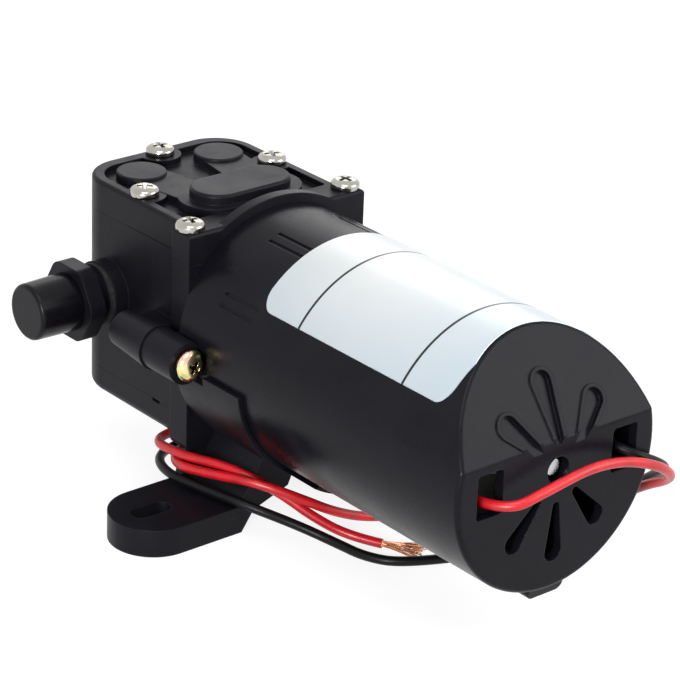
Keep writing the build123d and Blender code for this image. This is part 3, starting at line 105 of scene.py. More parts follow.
# Routes of the leads
lead_diameter = 2.4
red_lead_points = [
    (59.95, -21.4, 39.8),
    (80.8, -21.4, 39.8),
    (82, -6.4, 43),
    (82.2, 5.2, 44.8),
    (82, 17, 42.9),
    (82.2, 28.2, 38),
    (77.9, 36.5, 30.8),
    (66, 38, 23.6),
    (52, 37, 12),
    (38.6, 33, 2.6),
    (25, 26, 1.4),
    (14.5, 15.5, 1.4),
    (9.6, 3.5, 1.6),
    (8.8, -7, 6),
    (6.5, -15.6, 11.2),
    (-1.5, -24.4, 15.2),
    (-13, -27.9, 13.4),
    (-27.2, -29.4, 10.9),
    (-36.9, -19.2, 9.1),
    (-35.2, -3, 8.6),
    (-33.4, 13, 8.2),
    (-32.4, 29, 6),
    (-36, 42, 3),
    (-46, 47.5, 1.5),
    (-54.5, 40, 1.5),
    (-54, 27, 4),
    (-49, 13, 8),
    (-43, 0, 10.6),
    (-41.2, -11, 11),
    (-40.6, -26.2, 11.4),
    (-25.6, -27.8, 13.5),
    (-14, -25.4, 15.2),
    (-5.2, -23.4, 15.2),
    (1.4, -17.6, 11),
    (7.6, -12.8, 6),
    (14, -6.6, 1.6),
    (21.2, -2.2, 1.3),
]
black_lead_points = [
    (59.95, 19.4, 42.8),
    (78, 19.4, 42.8),
    (79.2, 32.6, 36),
    (69, 41, 27.6),
    (54, 42.6, 15),
    (39.4, 41, 3.2),
    (23, 37.6, 1.3),
    (9, 34, 3.2),
    (-4, 30.4, 9),
    (-18, 28.8, 9.2),
    (-30, 27, 10.2),
    (-39, 19, 9.2),
    (-42.8, 6, 6.8),
    (-42.6, -6, 6.6),
    (-41.6, -16, 7.2),
    (-37.6, -26.4, 8),
    (-27, -31, 8.8),
    (-14.6, -28.8, 8.9),
    (-2.2, -25.7, 8.9),
    (6.4, -16.6, 4.4),
    (14.6, -11.4, 1.6),
    (24, -9.8, 1.3),
    (31.6, -4.6, 1.3),
    (36, 6, 1.3),
]


def metres(point):
    """A point or size in millimetres, turned into metres."""
    return Vector(point) * MM


def mesh_object(name, data):
    """New object at the origin that shows the given mesh or curve."""
    piece = bpy.data.objects.new(name, data)
    scene.collection.objects.link(piece)
    return piece


def shade_smooth(mesh, angle):
    """Smooth shading, with edges sharper than the angle in degrees kept sharp."""
    for face in mesh.polygons:
        face.use_smooth = True
    mesh.set_sharp_from_angle(angle=math.radians(angle))


def plain_copy(piece):
    """Plain mesh piece with the evaluated shape of a piece, which it takes the place of."""
    graph = bpy.context.evaluated_depsgraph_get()
    mesh = bpy.data.meshes.new_from_object(piece.evaluated_get(graph))
    name = piece.name
    bpy.data.objects.remove(piece)
    return mesh_object(name, mesh)


def tinted(colour, share):
    """Colour with every channel multiplied by a share."""
    return tuple(share * channel for channel in colour)


# Materials


class Finish:
    """One node-based material, built from small steps that read Object coordinates."""

    def __init__(self, name):
        self.material = bpy.data.materials.new(name)
        self.material.use_nodes = True
        self.tree = self.material.node_tree
        self.shader = self.tree.nodes["Principled BSDF"]
        self.place = self.add("ShaderNodeTexCoord").outputs["Object"]

    def add(self, kind, **settings):
        """New node of a kind, with its settings."""
        node = self.tree.nodes.new(kind)
        for key, value in settings.items():
            setattr(node, key, value)
        return node

    def link(self, source, target):
        """Joins two sockets."""
        self.tree.links.new(source, target)

    def set(self, **values):
        """Constants straight on the shader's own sockets."""
        for key, value in values.items():
            self.shader.inputs[key.replace("_", " ")].default_value = value

    def noise(self, size, detail=3, roughness=0.55, stretch=(1, 1, 1), distortion=0):
        """Noise with features of about the given size in millimetres."""
        mapping = self.add("ShaderNodeMapping")
        mapping.inputs["Scale"].default_value = [s / (size * MM) for s in stretch]
        self.link(self.place, mapping.inputs["Vector"])
        noise = self.add("ShaderNodeTexNoise")
        noise.inputs["Scale"].default_value = 1
        noise.inputs["Detail"].default_value = detail
        noise.inputs["Roughness"].default_value = roughness
        noise.inputs["Distortion"].default_value = distortion
        self.link(mapping.outputs["Vector"], noise.inputs["Vector"])
        return noise.outputs["Fac"]

    def cells(self, size):
        """Distance to the nearest of many points about the given size apart."""
        mapping = self.add("ShaderNodeMapping")
        mapping.inputs["Scale"].default_value = [1 / (size * MM)] * 3
        self.link(self.place, mapping.inputs["Vector"])
        cells = self.add("ShaderNodeTexVoronoi")
        cells.inputs["Scale"].default_value = 1
        self.link(mapping.outputs["Vector"], cells.inputs["Vector"])
        return cells.outputs["Distance"]

    def remap(self, value, low, high, new_low, new_high):
        """Stretches the range from low to high onto a new one, and clamps what lies outside."""
        remap = self.add("ShaderNodeMapRange")
        remap.clamp = True
        remap.inputs["From Min"].default_value = low
        remap.inputs["From Max"].default_value = high
        remap.inputs["To Min"].default_value = new_low
        remap.inputs["To Max"].default_value = new_high
        self.link(value, remap.inputs["Value"])
        return remap.outputs["Result"]

    def math(self, operation, first, second):
        """Result of one operation on two values, each a socket or a number."""
        node = self.add("ShaderNodeMath", operation=operation)
        for socket, value in zip(node.inputs, (first, second)):
            if isinstance(value, (int, float)):
                socket.default_value = value
            else:
                self.link(value, socket)
        return node.outputs["Value"]

    def colours(self, value, stops):
        """Colour ramp through (position, colour) stops."""
        ramp = self.add("ShaderNodeValToRGB")
        elements = ramp.color_ramp.elements
        while len(elements) < len(stops):
            elements.new(0.5)
        for element, (position, colour) in zip(elements, stops):
            element.position = position
            element.color = (*colour, 1)
        self.link(value, ramp.inputs["Fac"])
        return ramp.outputs["Color"]

    def mix(self, factor, first, second):
        """Mixes two colours, each a socket or three numbers, by a socket's factor."""
        node = self.add("ShaderNodeMix", data_type="RGBA")
        self.link(factor, node.inputs["Factor"])
        for index, value in zip(MIX_COLOUR_INPUTS, (first, second)):
            if isinstance(value, tuple):
                node.inputs[index].default_value = (*value, 1)
            else:
                self.link(value, node.inputs[index])
        return node.outputs[MIX_COLOUR_OUTPUT]

    def edges(self, radius):
        """Rounded normal along edges, and a factor that rises to 1 where it turns from the flat one."""
        full_turn, no_turn = 0.78, 0.97
        bevel = self.add("ShaderNodeBevel", samples=6)
        bevel.inputs["Radius"].default_value = radius * MM
        flat = self.add("ShaderNodeNewGeometry")
        turn = self.add("ShaderNodeVectorMath", operation="DOT_PRODUCT")
        self.link(bevel.outputs["Normal"], turn.inputs[0])
        self.link(flat.outputs["Normal"], turn.inputs[1])
        return bevel.outputs["Normal"], self.remap(turn.outputs["Value"], full_turn, no_turn, 1, 0)

    def hollows(self, reach, low, high, most):
        """Factor that rises to most where other surfaces within the reach close the point in."""
        shelter = self.add("ShaderNodeAmbientOcclusion", samples=8)
        shelter.inputs["Distance"].default_value = reach * MM
        return self.remap(shelter.outputs["AO"], low, high, most, 0)

    def band(self, axis, middle, inner, outer, most):
        """Factor of most within the inner distance from a plane, that fades to 0 at the outer one."""
        axes = self.add("ShaderNodeSeparateXYZ")
        self.link(self.place, axes.inputs["Vector"])
        away = self.math("ABSOLUTE", self.math("SUBTRACT", axes.outputs[axis], middle * MM), 0)
        return self.remap(away, inner * MM, outer * MM, most, 0)

    def bump(self, height, distance, strength=1, normal=None):
        """Normal that follows a height, on top of another normal where one is given."""
        node = self.add("ShaderNodeBump")
        node.inputs["Distance"].default_value = distance * MM
        node.inputs["Strength"].default_value = strength
        self.link(height, node.inputs["Height"])
        if normal is not None:
            self.link(normal, node.inputs["Normal"])
        return node.outputs["Normal"]

    def finish(self, colour, roughness, normal=None):
        """Links the last sockets to the shader and returns the material."""
        for name, socket in (("Base Color", colour), ("Roughness", roughness), ("Normal", normal)):
            if socket is not None:
                self.link(socket, self.shader.inputs[name])
        return self.material


def moulded(
    name, colour, low, high, grain=0.35, depth=0.02, edge=0.35, wear=0.25, dust=0.12, seams=(), shine=0.12
):
    """Injection-moulded plastic: fine grain, cloudy gloss, softened worn edges, a little dust and painted
    shade along any given seams.
    """
    cloud_size = 14
    scuff_size = 3
    speck_gap = 2.2
    speck_inner, speck_outer = 0.05, 0.09
    seam_inner, seam_outer = 0.14, 0.26
    scuff_roughness = 0.06
    grain_strength = 0.6
    dark_tone, light_tone = tinted(colour, 0.75), tinted(colour, 1.2)
    worn_colour = tuple(min(1, 3.2 * channel + 0.02) for channel in colour)
    dust_colour = (0.16, 0.16, 0.16)
    seam_shade_colour = (0.001, 0.001, 0.001)
    f = Finish(name)
    rounded, edge_mask = f.edges(edge)
    cloud = f.noise(cloud_size, detail=4)
    fine = f.noise(grain, detail=2)
    scuff = f.noise(scuff_size, detail=5, roughness=0.7)
    body = f.colours(cloud, [(0.3, dark_tone), (0.7, light_tone)])
    worn = f.math("MULTIPLY", edge_mask, f.remap(scuff, 0.45, 0.7, 0, wear))
    body = f.mix(worn, body, worn_colour)
    specks = f.remap(f.cells(speck_gap), speck_inner, speck_outer, dust, 0)
    body = f.mix(specks, body, dust_colour)
    # Painted shade: near-black bands at the seam heights stand in for the shadowed gaps between parts.
    for seam_z in seams:
        body = f.mix(f.band("Z", seam_z, seam_inner, seam_outer, 1), body, seam_shade_colour)
    gloss = f.remap(cloud, 0.3, 0.7, low, high)
    gloss = f.math("ADD", gloss, f.remap(scuff, 0.5, 0.75, 0, scuff_roughness))
    f.set(Specular_IOR_Level=shine)
    return f.finish(body, gloss, f.bump(fine, depth, grain_strength, rounded))


def plain_metal(name, colour, low, high, grain=0.3, depth=0.004, stretch=(1, 1, 1), edge=0.12, hollow=0.35):
    """Bare metal with fine marks from its making, and painted shade that darkens its hollows."""
    cloud_size = 5
    hollow_reach = 1.2
    mark_strength = 0.5
    dull_tone, hollow_shade = tinted(colour, 0.82), tinted(colour, 0.12)
    f = Finish(name)
    rounded, _ = f.edges(edge)
    marks = f.noise(grain, detail=3, stretch=stretch)
    cloud = f.noise(cloud_size, detail=3)
    shade = f.colours(cloud, [(0.3, dull_tone), (0.7, colour)])
    # Painted shade: the colour is darkened where other surfaces close the point in, as in screw recesses.
    shade = f.mix(f.hollows(hollow_reach, 0.25, 0.75, hollow), shade, hollow_shade)
    f.set(Metallic=1)
    return f.finish(shade, f.remap(marks, 0.3, 0.7, low, high), f.bump(marks, depth, mark_strength, rounded))


def yellow_zinc():
    """Yellow passivated zinc, with its shift from gold to pink and green, and painted shade in its hollows.
    """
    hollow_reach = 1.6
    hollow_shade = (0.05, 0.025, 0.01)
    f = Finish("yellow_zinc")
    rounded, _ = f.edges(0.15)
    drift = f.noise(3.6, detail=1, distortion=0.8)
    film = f.colours(
        drift,
        [
            (0.34, (0.58, 0.62, 0.30)),
            (0.44, (0.92, 0.74, 0.30)),
            (0.54, (0.96, 0.80, 0.50)),
            (0.62, (0.92, 0.52, 0.42)),
        ],
    )
    # Painted shade: the film darkens to a deep brown where other surfaces close the point in.
    film = f.mix(f.hollows(hollow_reach, 0.45, 0.95, 0.97), film, hollow_shade)
    f.set(Metallic=1)
    fine = f.noise(0.25, detail=2)
    return f.finish(film, f.remap(fine, 0.3, 0.7, 0.12, 0.22), f.bump(fine, 0.003, 0.4, rounded))


def silver_film():
    """Silvery label film with two ruled lines, and painted reflection in its colour: brightest a third of
    the way along, darker and bluer towards its end, and bluish to its lower edge.
    """
    lower_edge_reflection = (0.47, 0.54, 0.60)
    ink = (0.006, 0.006, 0.008)
    line_inner, line_outer = 0.3, 0.42
    drift_size = 22
    drift_share = 0.12
    haze_size = 16
    f = Finish("silver_film")
    axes = f.add("ShaderNodeSeparateXYZ")
    f.link(f.place, axes.inputs["Vector"])
    along = f.remap(axes.outputs["X"], 0, label_length * MM, 0, 1)
    wander = f.remap(f.noise(drift_size, detail=2), 0.3, 0.7, -drift_share, drift_share)
    drift = f.math("ADD", along, wander)
    # Painted reflection: the tone brightens a third of the way along the label and turns darker and bluer
    # towards its end, with a random drift.
    film = f.colours(
        drift,
        [
            (0.0, (0.62, 0.65, 0.64)),
            (0.35, (0.70, 0.72, 0.71)),
            (0.7, (0.62, 0.67, 0.69)),
            (1.0, (0.56, 0.63, 0.67)),
        ],
    )
    # Painted reflection: the film turns darker and bluer towards its lower edge.
    low_edge_reflection = f.remap(axes.outputs["Y"], label_bluish_y * MM, label_plain_y * MM, 0.8, 0)
    film = f.mix(low_edge_reflection, film, lower_edge_reflection)
    for line_x in ruled_lines_x:
        film = f.mix(f.band("X", line_x, line_inner, line_outer, 1), film, ink)
    haze = f.noise(haze_size, detail=1)
    f.set(Metallic=0.25, Coat_Weight=0.25, Coat_Roughness=0.2)
    return f.finish(film, f.remap(haze, 0.3, 0.7, 0.28, 0.34))


def lead_skin(name, colour, deep, gloss=0.5):
    """Extruded PVC insulation, satin, with faint drawing marks."""
    f = Finish(name)
    fine = f.noise(0.5, detail=3)
    cloud = f.noise(6, detail=2)
    body = f.colours(cloud, [(0.3, deep), (0.65, colour)])
    f.set(Specular_IOR_Level=gloss, Coat_Weight=0.2 * gloss, Coat_Roughness=0.25)
    return f.finish(body, f.remap(fine, 0.3, 0.7, 0.3, 0.42), f.bump(fine, 0.012, 0.5))


def copper_strand():
    """Bare fine copper wire, bright with darker stretches."""
    f = Finish("copper_strand")
    tarnish = f.noise(1.6, detail=3)
    shade = f.colours(tarnish, [(0.35, (0.42, 0.17, 0.09)), (0.6, (0.80, 0.42, 0.25))])
    f.set(Metallic=1)
    return f.finish(shade, f.remap(tarnish, 0.3, 0.7, 0.38, 0.22))


def winding_wire():
    """Enamelled copper wire laid side by side."""
    wire_pitch = 2.4
    f = Finish("winding_wire")
    wave = f.add("ShaderNodeTexWave", wave_type="BANDS", bands_direction="DIAGONAL")
    mapping = f.add("ShaderNodeMapping")
    mapping.inputs["Scale"].default_value = [1 / (wire_pitch * MM)] * 3
    f.link(f.place, mapping.inputs["Vector"])
    f.link(mapping.outputs["Vector"], wave.inputs["Vector"])
    wave.inputs["Scale"].default_value = 1
    wave.inputs["Distortion"].default_value = 1.2
    shade = f.colours(wave.outputs["Fac"], [(0.2, (0.12, 0.03, 0.015)), (0.8, (0.46, 0.15, 0.06))])
    f.set(Metallic=0.6, Coat_Weight=0.4)
    return f.finish(shade, f.remap(f.noise(1), 0.3, 0.7, 0.25, 0.4), f.bump(wave.outputs["Fac"], 0.12))


def rubber_skin():
    """Matt black rubber with a fine bloom."""
    f = Finish("rubber_skin")
    bloom = f.noise(1.2, detail=5, roughness=0.7)
    shade = f.colours(bloom, [(0.35, (0.012, 0.012, 0.013)), (0.75, (0.035, 0.035, 0.036))])
    f.set(Specular_IOR_Level=0.25)
    return f.finish(shade, f.remap(bloom, 0.3, 0.7, 0.6, 0.8), f.bump(bloom, 0.03, 0.5))


housing = {"colour": (0.0068, 0.0068, 0.0098), "low": 0.34, "high": 0.46, "grain": 0.4, "depth": 0.025}
finishes = {
    "black_housing": moulded("housing_plastic", **housing),
    "head_housing": moulded("head_plastic", **housing, seams=head_seams_z),
    "shroud_plastic": moulded(
        "shroud_moulding", (0.0056, 0.0056, 0.0086), 0.24, 0.34, grain=0.5, depth=0.014, wear=0.35, dust=0.05
    ),
    "cap_plastic": moulded(
        "cap_moulding", (0.0035, 0.0035, 0.0055), 0.2, 0.32, grain=0.3, depth=0.012, edge=0.5, shine=0.16
    ),
    "grey_plastic": moulded("grey_moulding", (0.2, 0.205, 0.21), 0.4, 0.55),
    "nickel_screw": plain_metal("bright_nickel", (0.50, 0.49, 0.44), 0.1, 0.22, hollow=0.95),
    "zinc_screw": yellow_zinc(),
    "steel": plain_metal("ground_steel", (0.60, 0.60, 0.61), 0.18, 0.34, stretch=(0.2, 1, 1)),
    "plated_steel": plain_metal("plated_steel", (0.30, 0.32, 0.29), 0.28, 0.45),
    "silicon_steel": plain_metal("laminated_steel", (0.33, 0.33, 0.34), 0.35, 0.5, stretch=(6, 0.4, 0.4)),
    "copper": winding_wire(),
    "brass": plain_metal("brass_sheet", (0.78, 0.58, 0.26), 0.25, 0.4),
    "sintered_bronze": plain_metal("sintered_bronze", (0.50, 0.34, 0.19), 0.4, 0.6, grain=0.2, depth=0.02),
    "aluminium": plain_metal("turned_aluminium", (0.72, 0.73, 0.74), 0.25, 0.38, stretch=(4, 1, 1)),
    "black_rubber": rubber_skin(),
    "ferrite": plain_metal("ferrite", (0.09, 0.09, 0.10), 0.5, 0.65),
    "carbon": plain_metal("carbon_block", (0.10, 0.10, 0.105), 0.45, 0.6),
    "label_film": silver_film(),
    "red_pvc": lead_skin("red_insulation", (0.70, 0.010, 0.018), (0.46, 0.006, 0.010)),
    "black_pvc": lead_skin("black_insulation", (0.006, 0.006, 0.007), (0.004, 0.004, 0.005), gloss=0.15),
    "strand": copper_strand(),
}
for entry in frame["record"]["subparts"]:
    node = nodes[entry["node"]]
    slot_name = "head_housing" if entry["node"] in head_casings else entry["material_slot"]
    node.data.materials.clear()
    node.data.materials.append(finishes[slot_name])


# Camera and light


def set_camera():
    """Camera at the photograph's angle, far back with a long lens."""
    azimuth = math.radians(camera_azimuth)
    elevation = math.radians(camera_elevation)
    roll = math.radians(camera_roll)
    back = Vector(
        (
            math.cos(elevation) * math.cos(azimuth),
            -math.cos(elevation) * math.sin(azimuth),
            math.sin(elevation),
        )
    )
    right = (-back).cross(Vector((0, 0, 1))).normalized()
    up = right.cross(-back)
    turned_right = math.cos(roll) * right + math.sin(roll) * up
    turned_up = -math.sin(roll) * right + math.cos(roll) * up
    data = bpy.data.cameras.new("camera")
    data.lens = camera_lens
    data.sensor_width = camera_sensor
    data.clip_start = 0.01
    data.clip_end = 20
    camera = mesh_object("camera", data)
    place = Matrix((turned_right, turned_up, back)).transposed().to_4x4()
    place.translation = metres(camera_place)
    camera.matrix_world = place
    scene.camera = camera


def soft_lamp(name, place, aim, side, power):
    """Square studio lamp that points at a spot on the pump."""
    data = bpy.data.lights.new(name, "AREA")
    data.shape = "RECTANGLE"
    data.size = side * MM
    data.size_y = side * MM
    data.energy = power
    lamp = mesh_object(name, data)
    lamp.location = metres(place)
    lamp.rotation_euler = (metres(aim) - lamp.location).to_track_quat("-Z", "Y").to_euler()


def seen_directly(tree):
    """Factor of 1 for rays that show the surroundings: from the camera, a mirror or through glass."""
    path = tree.nodes.new("ShaderNodeLightPath")
    seen = path.outputs["Is Camera Ray"]
    for name in ("Is Glossy Ray", "Is Transmission Ray"):
        either = tree.nodes.new("ShaderNodeMath")
        either.operation = "MAXIMUM"
        tree.links.new(seen, either.inputs[0])
        tree.links.new(path.outputs[name], either.inputs[1])
        seen = either.outputs["Value"]
    return seen


def set_world():
    """White where it is seen. The light that it sheds is stronger from the ceiling and the far side."""
    world = bpy.data.worlds.new("studio")
    scene.world = world
    world.use_nodes = True
    tree = world.node_tree
    background = tree.nodes["Background"]
    place = tree.nodes.new("ShaderNodeTexCoord")
    facing = tree.nodes.new("ShaderNodeVectorMath")
    facing.operation = "DOT_PRODUCT"
    facing.inputs[1].default_value = ceiling_direction
    tree.links.new(place.outputs["Generated"], facing.inputs[0])
    light = tree.nodes.new("ShaderNodeMapRange")
    light.interpolation_type = "SMOOTHSTEP"
    light.inputs["From Min"].default_value = dark_side_facing
    light.inputs["From Max"].default_value = ceiling_facing
    light.inputs["To Min"].default_value = dark_side_light
    light.inputs["To Max"].default_value = ceiling_light
    tree.links.new(facing.outputs["Value"], light.inputs["Value"])
    seen = seen_directly(tree)
    strength = tree.nodes.new("ShaderNodeMix")
    strength.inputs["B"].default_value = 1
    tree.links.new(seen, strength.inputs["Factor"])
    tree.links.new(light.outputs["Result"], strength.inputs["A"])
    tree.links.new(strength.outputs["Result"], background.inputs["Strength"])
    tint = tree.nodes.new("ShaderNodeMix")
    tint.data_type = "RGBA"
    for index, colour in zip(MIX_COLOUR_INPUTS, (cool_light, plain_white)):
        tint.inputs[index].default_value = colour
    tree.links.new(seen, tint.inputs["Factor"])
    tree.links.new(tint.outputs[MIX_COLOUR_OUTPUT], background.inputs["Color"])


def studio_floor():
    """Pale floor that reads white where no shadow falls."""
    mesh = bpy.data.meshes.new("floor")
    shape = bmesh.new()
    bmesh.ops.create_grid(shape, x_segments=2, y_segments=2, size=floor_reach * MM)
    shape.to_mesh(mesh)
    shape.free()
    floor = mesh_object("floor", mesh)
    floor.data.transform(Matrix.Translation((0, 0, -floor_drop * MM)))
    material = bpy.data.materials.new("floor_paper")
    material.use_nodes = True
    tree = material.node_tree
    shader = tree.nodes["Principled BSDF"]
    shader.inputs["Base Color"].default_value = (floor_grey, floor_grey, floor_grey, 1)
    shader.inputs["Roughness"].default_value = 0.9
    shader.inputs["Specular IOR Level"].default_value = 0
    glow = tree.nodes.new("ShaderNodeMath")
    glow.operation = "MULTIPLY"
    glow.inputs[1].default_value = floor_glow
    tree.links.new(seen_directly(tree), glow.inputs[0])
    tree.links.new(glow.outputs[0], shader.inputs["Emission Strength"])
    shader.inputs["Emission Color"].default_value = plain_white
    floor.data.materials.append(material)


set_camera()
set_world()
studio_floor()
for lamp_name, (lamp_place, lamp_aim, lamp_side, lamp_power) in lamps.items():
    soft_lamp(lamp_name, lamp_place, lamp_aim, lamp_side, lamp_power)


# Leads with their bared ends


def free_lead(name, node, points, slot_name):
    """Smooth lead, guided by the route's points."""
    curve = bpy.data.curves.new(name, "CURVE")
    curve.dimensions = "3D"
    spline = curve.splines.new("NURBS")
    spline.points.add(len(points) - 1)
    for target, point in zip(spline.points, points):
        target.co = (*metres(point), 1)
    spline.order_u = 3
    spline.use_endpoint_u = True
    spline.resolution_u = 10
    curve.bevel_depth = lead_diameter / 2 * MM
    curve.bevel_resolution = 5
    curve.use_fill_caps = True
    curve.materials.append(finishes[slot_name])
    lead = mesh_object(name, curve)
    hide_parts(node)
    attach(lead, "root")
    return lead


def strand_bundle(name, node, start, heading, reach, spread, count, seed, tufts):
    """Bared strands that leave the insulation together, fray into a few tufts and lie above the floor."""
    strand_radius = 0.13
    bundle_radius = 0.72
    hidden = 1.2
    straight = 0.4
    # Shares of the length ahead and of the fan sideways, at the last three points of a strand
    fanning = ((0.35, 0.18), (0.7, 0.6), (1, 1))
    wander = 0.5
    shortest = 0.78
    least_height = 0.2
    height_drift = 0.25
    draw = random.Random(seed)
    heading = Vector(heading).normalized()
    sideways = heading.cross(Vector((0, 0, 1))).normalized()
    curve = bpy.data.curves.new(name, "CURVE")
    curve.dimensions = "3D"
    curve.bevel_depth = strand_radius * MM
    curve.bevel_resolution = 1
    for index in range(count):
        tuft = index % tufts - (tufts - 1) / 2
        turn = draw.uniform(0, 2 * math.pi)
        ring = bundle_radius * math.sqrt(draw.random())
        offset = sideways * ring * math.cos(turn) + Vector((0, 0, 1)) * ring * math.sin(turn)
        fan = sideways * (tuft * spread + draw.uniform(-wander, wander))
        length = reach * draw.uniform(shortest, 1.0)
        spline = curve.splines.new("NURBS")
        spline.points.add(4)
        begin = Vector(start) + offset - heading * hidden
        path = [begin, begin + heading * (hidden + straight)]
        for along, across in fanning:
            path.append(begin + heading * (hidden + along * length) + fan * across)
        for target, point in zip(spline.points, path):
            height = max(point.z, least_height + height_drift * draw.random())
            target.co = (*metres((point.x, point.y, height)), 1)
        spline.order_u = 3
        spline.use_endpoint_u = True
        spline.resolution_u = 4
    curve.materials.append(finishes["strand"])
    bundle = plain_copy(mesh_object(name, curve))
    shade_smooth(bundle.data, 60)
    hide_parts(node)
    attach(bundle, "root")
    return bundle


red_strands = strand_bundle(
    "red_lead_strands",
    "red_lead_end",
    start=red_lead_points[-1],
    heading=(7.2, 4.4, -0.3),
    reach=10.5,
    spread=2.4,
    count=42,
    seed=5,
    tufts=3,
)
black_strands = strand_bundle(
    "black_lead_strands",
    "black_lead_end",
    start=black_lead_points[-1],
    heading=(4.4, 10.6, 0),
    reach=8.5,
    spread=0.9,
    count=30,
    seed=8,
    tufts=2,
)
red_lead = free_lead("red_lead_wire", "red_lead", red_lead_points, "red_pvc")
black_lead = free_lead("black_lead_wire", "black_lead", black_lead_points, "black_pvc")


# Screws, placed by Geometry Nodes


def turned_shape(profile, segments=48):
    """Solid turned from a profile of (radius, height) points that starts and ends on the axis."""
    shape = bmesh.new()
    rings = []
    for radius, height in profile:
        if radius == 0:
            rings.append([shape.verts.new(metres((0, 0, height)))])
            continue
        ring = []
        for step in range(segments):
            turn = 2 * math.pi * step / segments
            ring.append(shape.verts.new(metres((radius * math.cos(turn), radius * math.sin(turn), height))))
        rings.append(ring)
    for lower, upper in zip(rings, rings[1:]):
        for step in range(segments):
            after = (step + 1) % segments
            corners = [lower[step % len(lower)], lower[after % len(lower)]]
            corners += [upper[after % len(upper)], upper[step % len(upper)]]
            shape.faces.new(list(dict.fromkeys(corners)))
    bmesh.ops.recalc_face_normals(shape, faces=shape.faces)
    return shape


def recess_tool(head, depth, top, cross):
    """Tapered cross that cuts the driver recess, as wide at its top as cross times the head's radius."""
    stand_out = 0.3
    upper_length, lower_length = 1, 0.4
    upper_width, lower_width = 0.25, 0.16
    shape = bmesh.new()
    for turn in (0, math.pi / 2):
        block = bmesh.ops.create_cube(shape, size=1)["verts"]
        for vert in block:
            upper = vert.co.z > 0
            vert.co.x *= head * cross * (upper_length if upper else lower_length)
            vert.co.y *= head * cross * (upper_width if upper else lower_width)
            vert.co.z = top + stand_out if upper else top - depth
            vert.co = Matrix.Rotation(turn, 3, "Z") @ vert.co * MM
    return shape


def as_piece(name, shape):
    """Object from a finished bmesh, which is freed."""
    mesh = bpy.data.meshes.new(name)
    shape.to_mesh(mesh)
    shape.free()
    return mesh_object(name, mesh)


def driven_screw(name, head, height, shank, reach, cross=1):
    """Pan head screw with a cross recess and a threaded shank below its seat."""
    dome_steps = 9
    dome_fullness = 0.72
    dome_share = 0.58
    rim_share = 0.42
    skirt_height = 0.1 * height
    seat_radius = 0.97 * head
    seat_clearance = 0.02
    recess_depth = 0.62 * height
    pitch = 1.4
    root_start = 0.45 * pitch
    root_end = 0.75 * pitch
    thread_root = 0.8 * shank
    plain_tip = 1.5
    tip_radius = 0.7 * shank
    tip_chamfer = 0.7
    profile = [(0, height)]
    for step in range(1, dome_steps + 1):
        turn = math.pi / 2 * step / dome_steps
        radius = head * math.sin(turn) ** dome_fullness
        profile.append((radius, rim_share * height + dome_share * height * math.cos(turn)))
    profile += [(head, skirt_height), (seat_radius, seat_clearance), (shank, seat_clearance)]
    depth = seat_clearance
    while depth < reach - plain_tip:
        profile.append((shank, -depth))
        profile += [(thread_root, -depth - root_start), (thread_root, -depth - root_end)]
        depth += pitch
    profile += [(tip_radius, -reach + tip_chamfer), (0, -reach)]
    screw = as_piece(name, turned_shape(profile))
    tool = as_piece(name + "_recess", recess_tool(head, recess_depth, height, cross))
    cut = screw.modifiers.new("recess", "BOOLEAN")
    cut.operation = "DIFFERENCE"
    cut.solver = "EXACT"
    cut.use_self = True
    cut.object = tool
    screw = plain_copy(screw)
    shade_smooth(screw.data, 38)
    bpy.data.objects.remove(tool)
    return screw


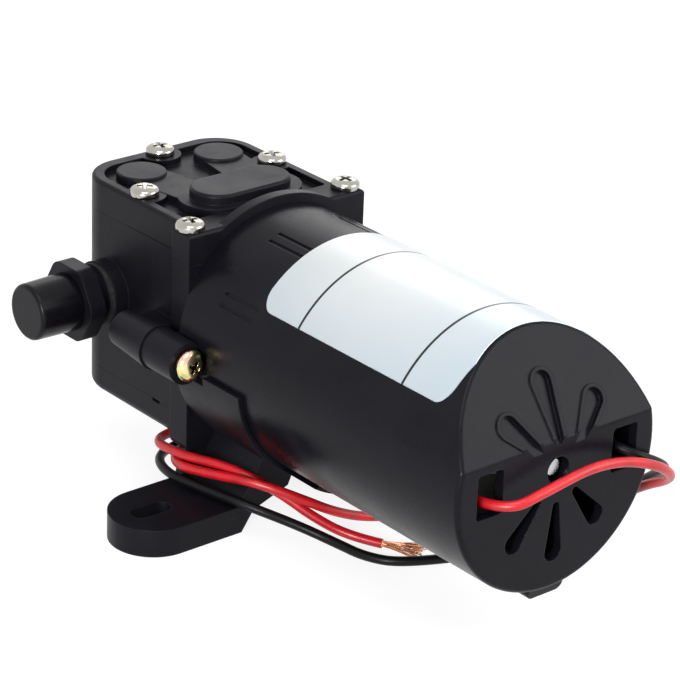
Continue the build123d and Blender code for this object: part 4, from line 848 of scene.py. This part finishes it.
def placing_tree():
    """Puts one screw at every point, spun about its own axis by a seeded amount."""
    tree = bpy.data.node_groups.new("screws_at_sites", "GeometryNodeTree")
    inputs = {
        "Sites": "NodeSocketGeometry",
        "Screw": "NodeSocketObject",
        "Turn": "NodeSocketRotation",
        "Seed": "NodeSocketInt",
        "Finish": "NodeSocketMaterial",
    }
    for name, kind in inputs.items():
        tree.interface.new_socket(name, in_out="INPUT", socket_type=kind)
    tree.interface.new_socket("Screws", in_out="OUTPUT", socket_type="NodeSocketGeometry")
    start = tree.nodes.new("NodeGroupInput")
    end = tree.nodes.new("NodeGroupOutput")
    screw = tree.nodes.new("GeometryNodeObjectInfo")
    screw.inputs["As Instance"].default_value = True
    spin = tree.nodes.new("FunctionNodeRandomValue")
    spin.data_type = "FLOAT_VECTOR"
    spin.inputs["Min"].default_value = (0, 0, 0)
    spin.inputs["Max"].default_value = (0, 0, 2 * math.pi)
    place = tree.nodes.new("GeometryNodeInstanceOnPoints")
    turn = tree.nodes.new("GeometryNodeRotateInstances")
    turn.inputs["Local Space"].default_value = True
    real = tree.nodes.new("GeometryNodeRealizeInstances")
    paint = tree.nodes.new("GeometryNodeSetMaterial")
    link = tree.links.new
    link(start.outputs["Sites"], place.inputs["Points"])
    link(start.outputs["Screw"], screw.inputs["Object"])
    link(screw.outputs["Geometry"], place.inputs["Instance"])
    link(start.outputs["Seed"], spin.inputs["Seed"])
    link(start.outputs["Turn"], place.inputs["Rotation"])
    link(place.outputs["Instances"], turn.inputs["Instances"])
    link(spin.outputs["Value"], turn.inputs["Rotation"])
    link(turn.outputs["Instances"], real.inputs["Geometry"])
    link(real.outputs["Geometry"], paint.inputs["Geometry"])
    link(start.outputs["Finish"], paint.inputs["Material"])
    link(paint.outputs["Geometry"], end.inputs["Screws"])
    return tree


def set_input(modifier, name, value):
    """Sets a modifier's input by the identifier of the socket with that name."""
    for item in modifier.node_group.interface.items_tree:
        if item.item_type == "SOCKET" and item.in_out == "INPUT" and item.name == name:
            modifier[item.identifier] = value


screw_tree = placing_tree()


def place_screws(name, node, sites, turn, slot_name, seed, **sizes):
    """Screws of one size at their sites, as one mesh that stands for a node."""
    mesh = bpy.data.meshes.new(name)
    mesh.from_pydata([metres(site) for site in sites], [], [])
    piece = mesh_object(name, mesh)
    screw = driven_screw(name + "_pattern", **sizes)
    modifier = piece.modifiers.new("placing", "NODES")
    modifier.node_group = screw_tree
    set_input(modifier, "Screw", screw)
    set_input(modifier, "Turn", turn)
    set_input(modifier, "Seed", seed)
    set_input(modifier, "Finish", finishes[slot_name])
    piece = plain_copy(piece)
    bpy.data.objects.remove(screw)
    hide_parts(node)
    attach(piece, "root")


upright = (0, 0, 0)
lying_forward = (0, math.pi / 2, 0)
upside_down = (math.pi, 0, 0)
place_screws(
    "lid_screws",
    "cover_screws",
    cover_screw_sites,
    upright,
    "nickel_screw",
    seed=3,
    head=3.65,
    height=2.4,
    shank=1.95,
    reach=15,
    cross=1.3,
)
place_screws(
    "side_screws",
    "tie_screws",
    tie_screw_sites,
    lying_forward,
    "zinc_screw",
    seed=4,
    head=4,
    height=3,
    shank=1.95,
    reach=26,
    cross=0.9,
)
place_screws(
    "underside_screws",
    "bottom_screws",
    bottom_screw_sites,
    upside_down,
    "zinc_screw",
    seed=5,
    head=2.8,
    height=1.65,
    shank=1.5,
    reach=11,
)
place_screws(
    "pedestal_screws",
    "base_screws",
    base_screw_sites,
    upside_down,
    "zinc_screw",
    seed=6,
    head=2.9,
    height=2,
    shank=1.5,
    reach=12,
)
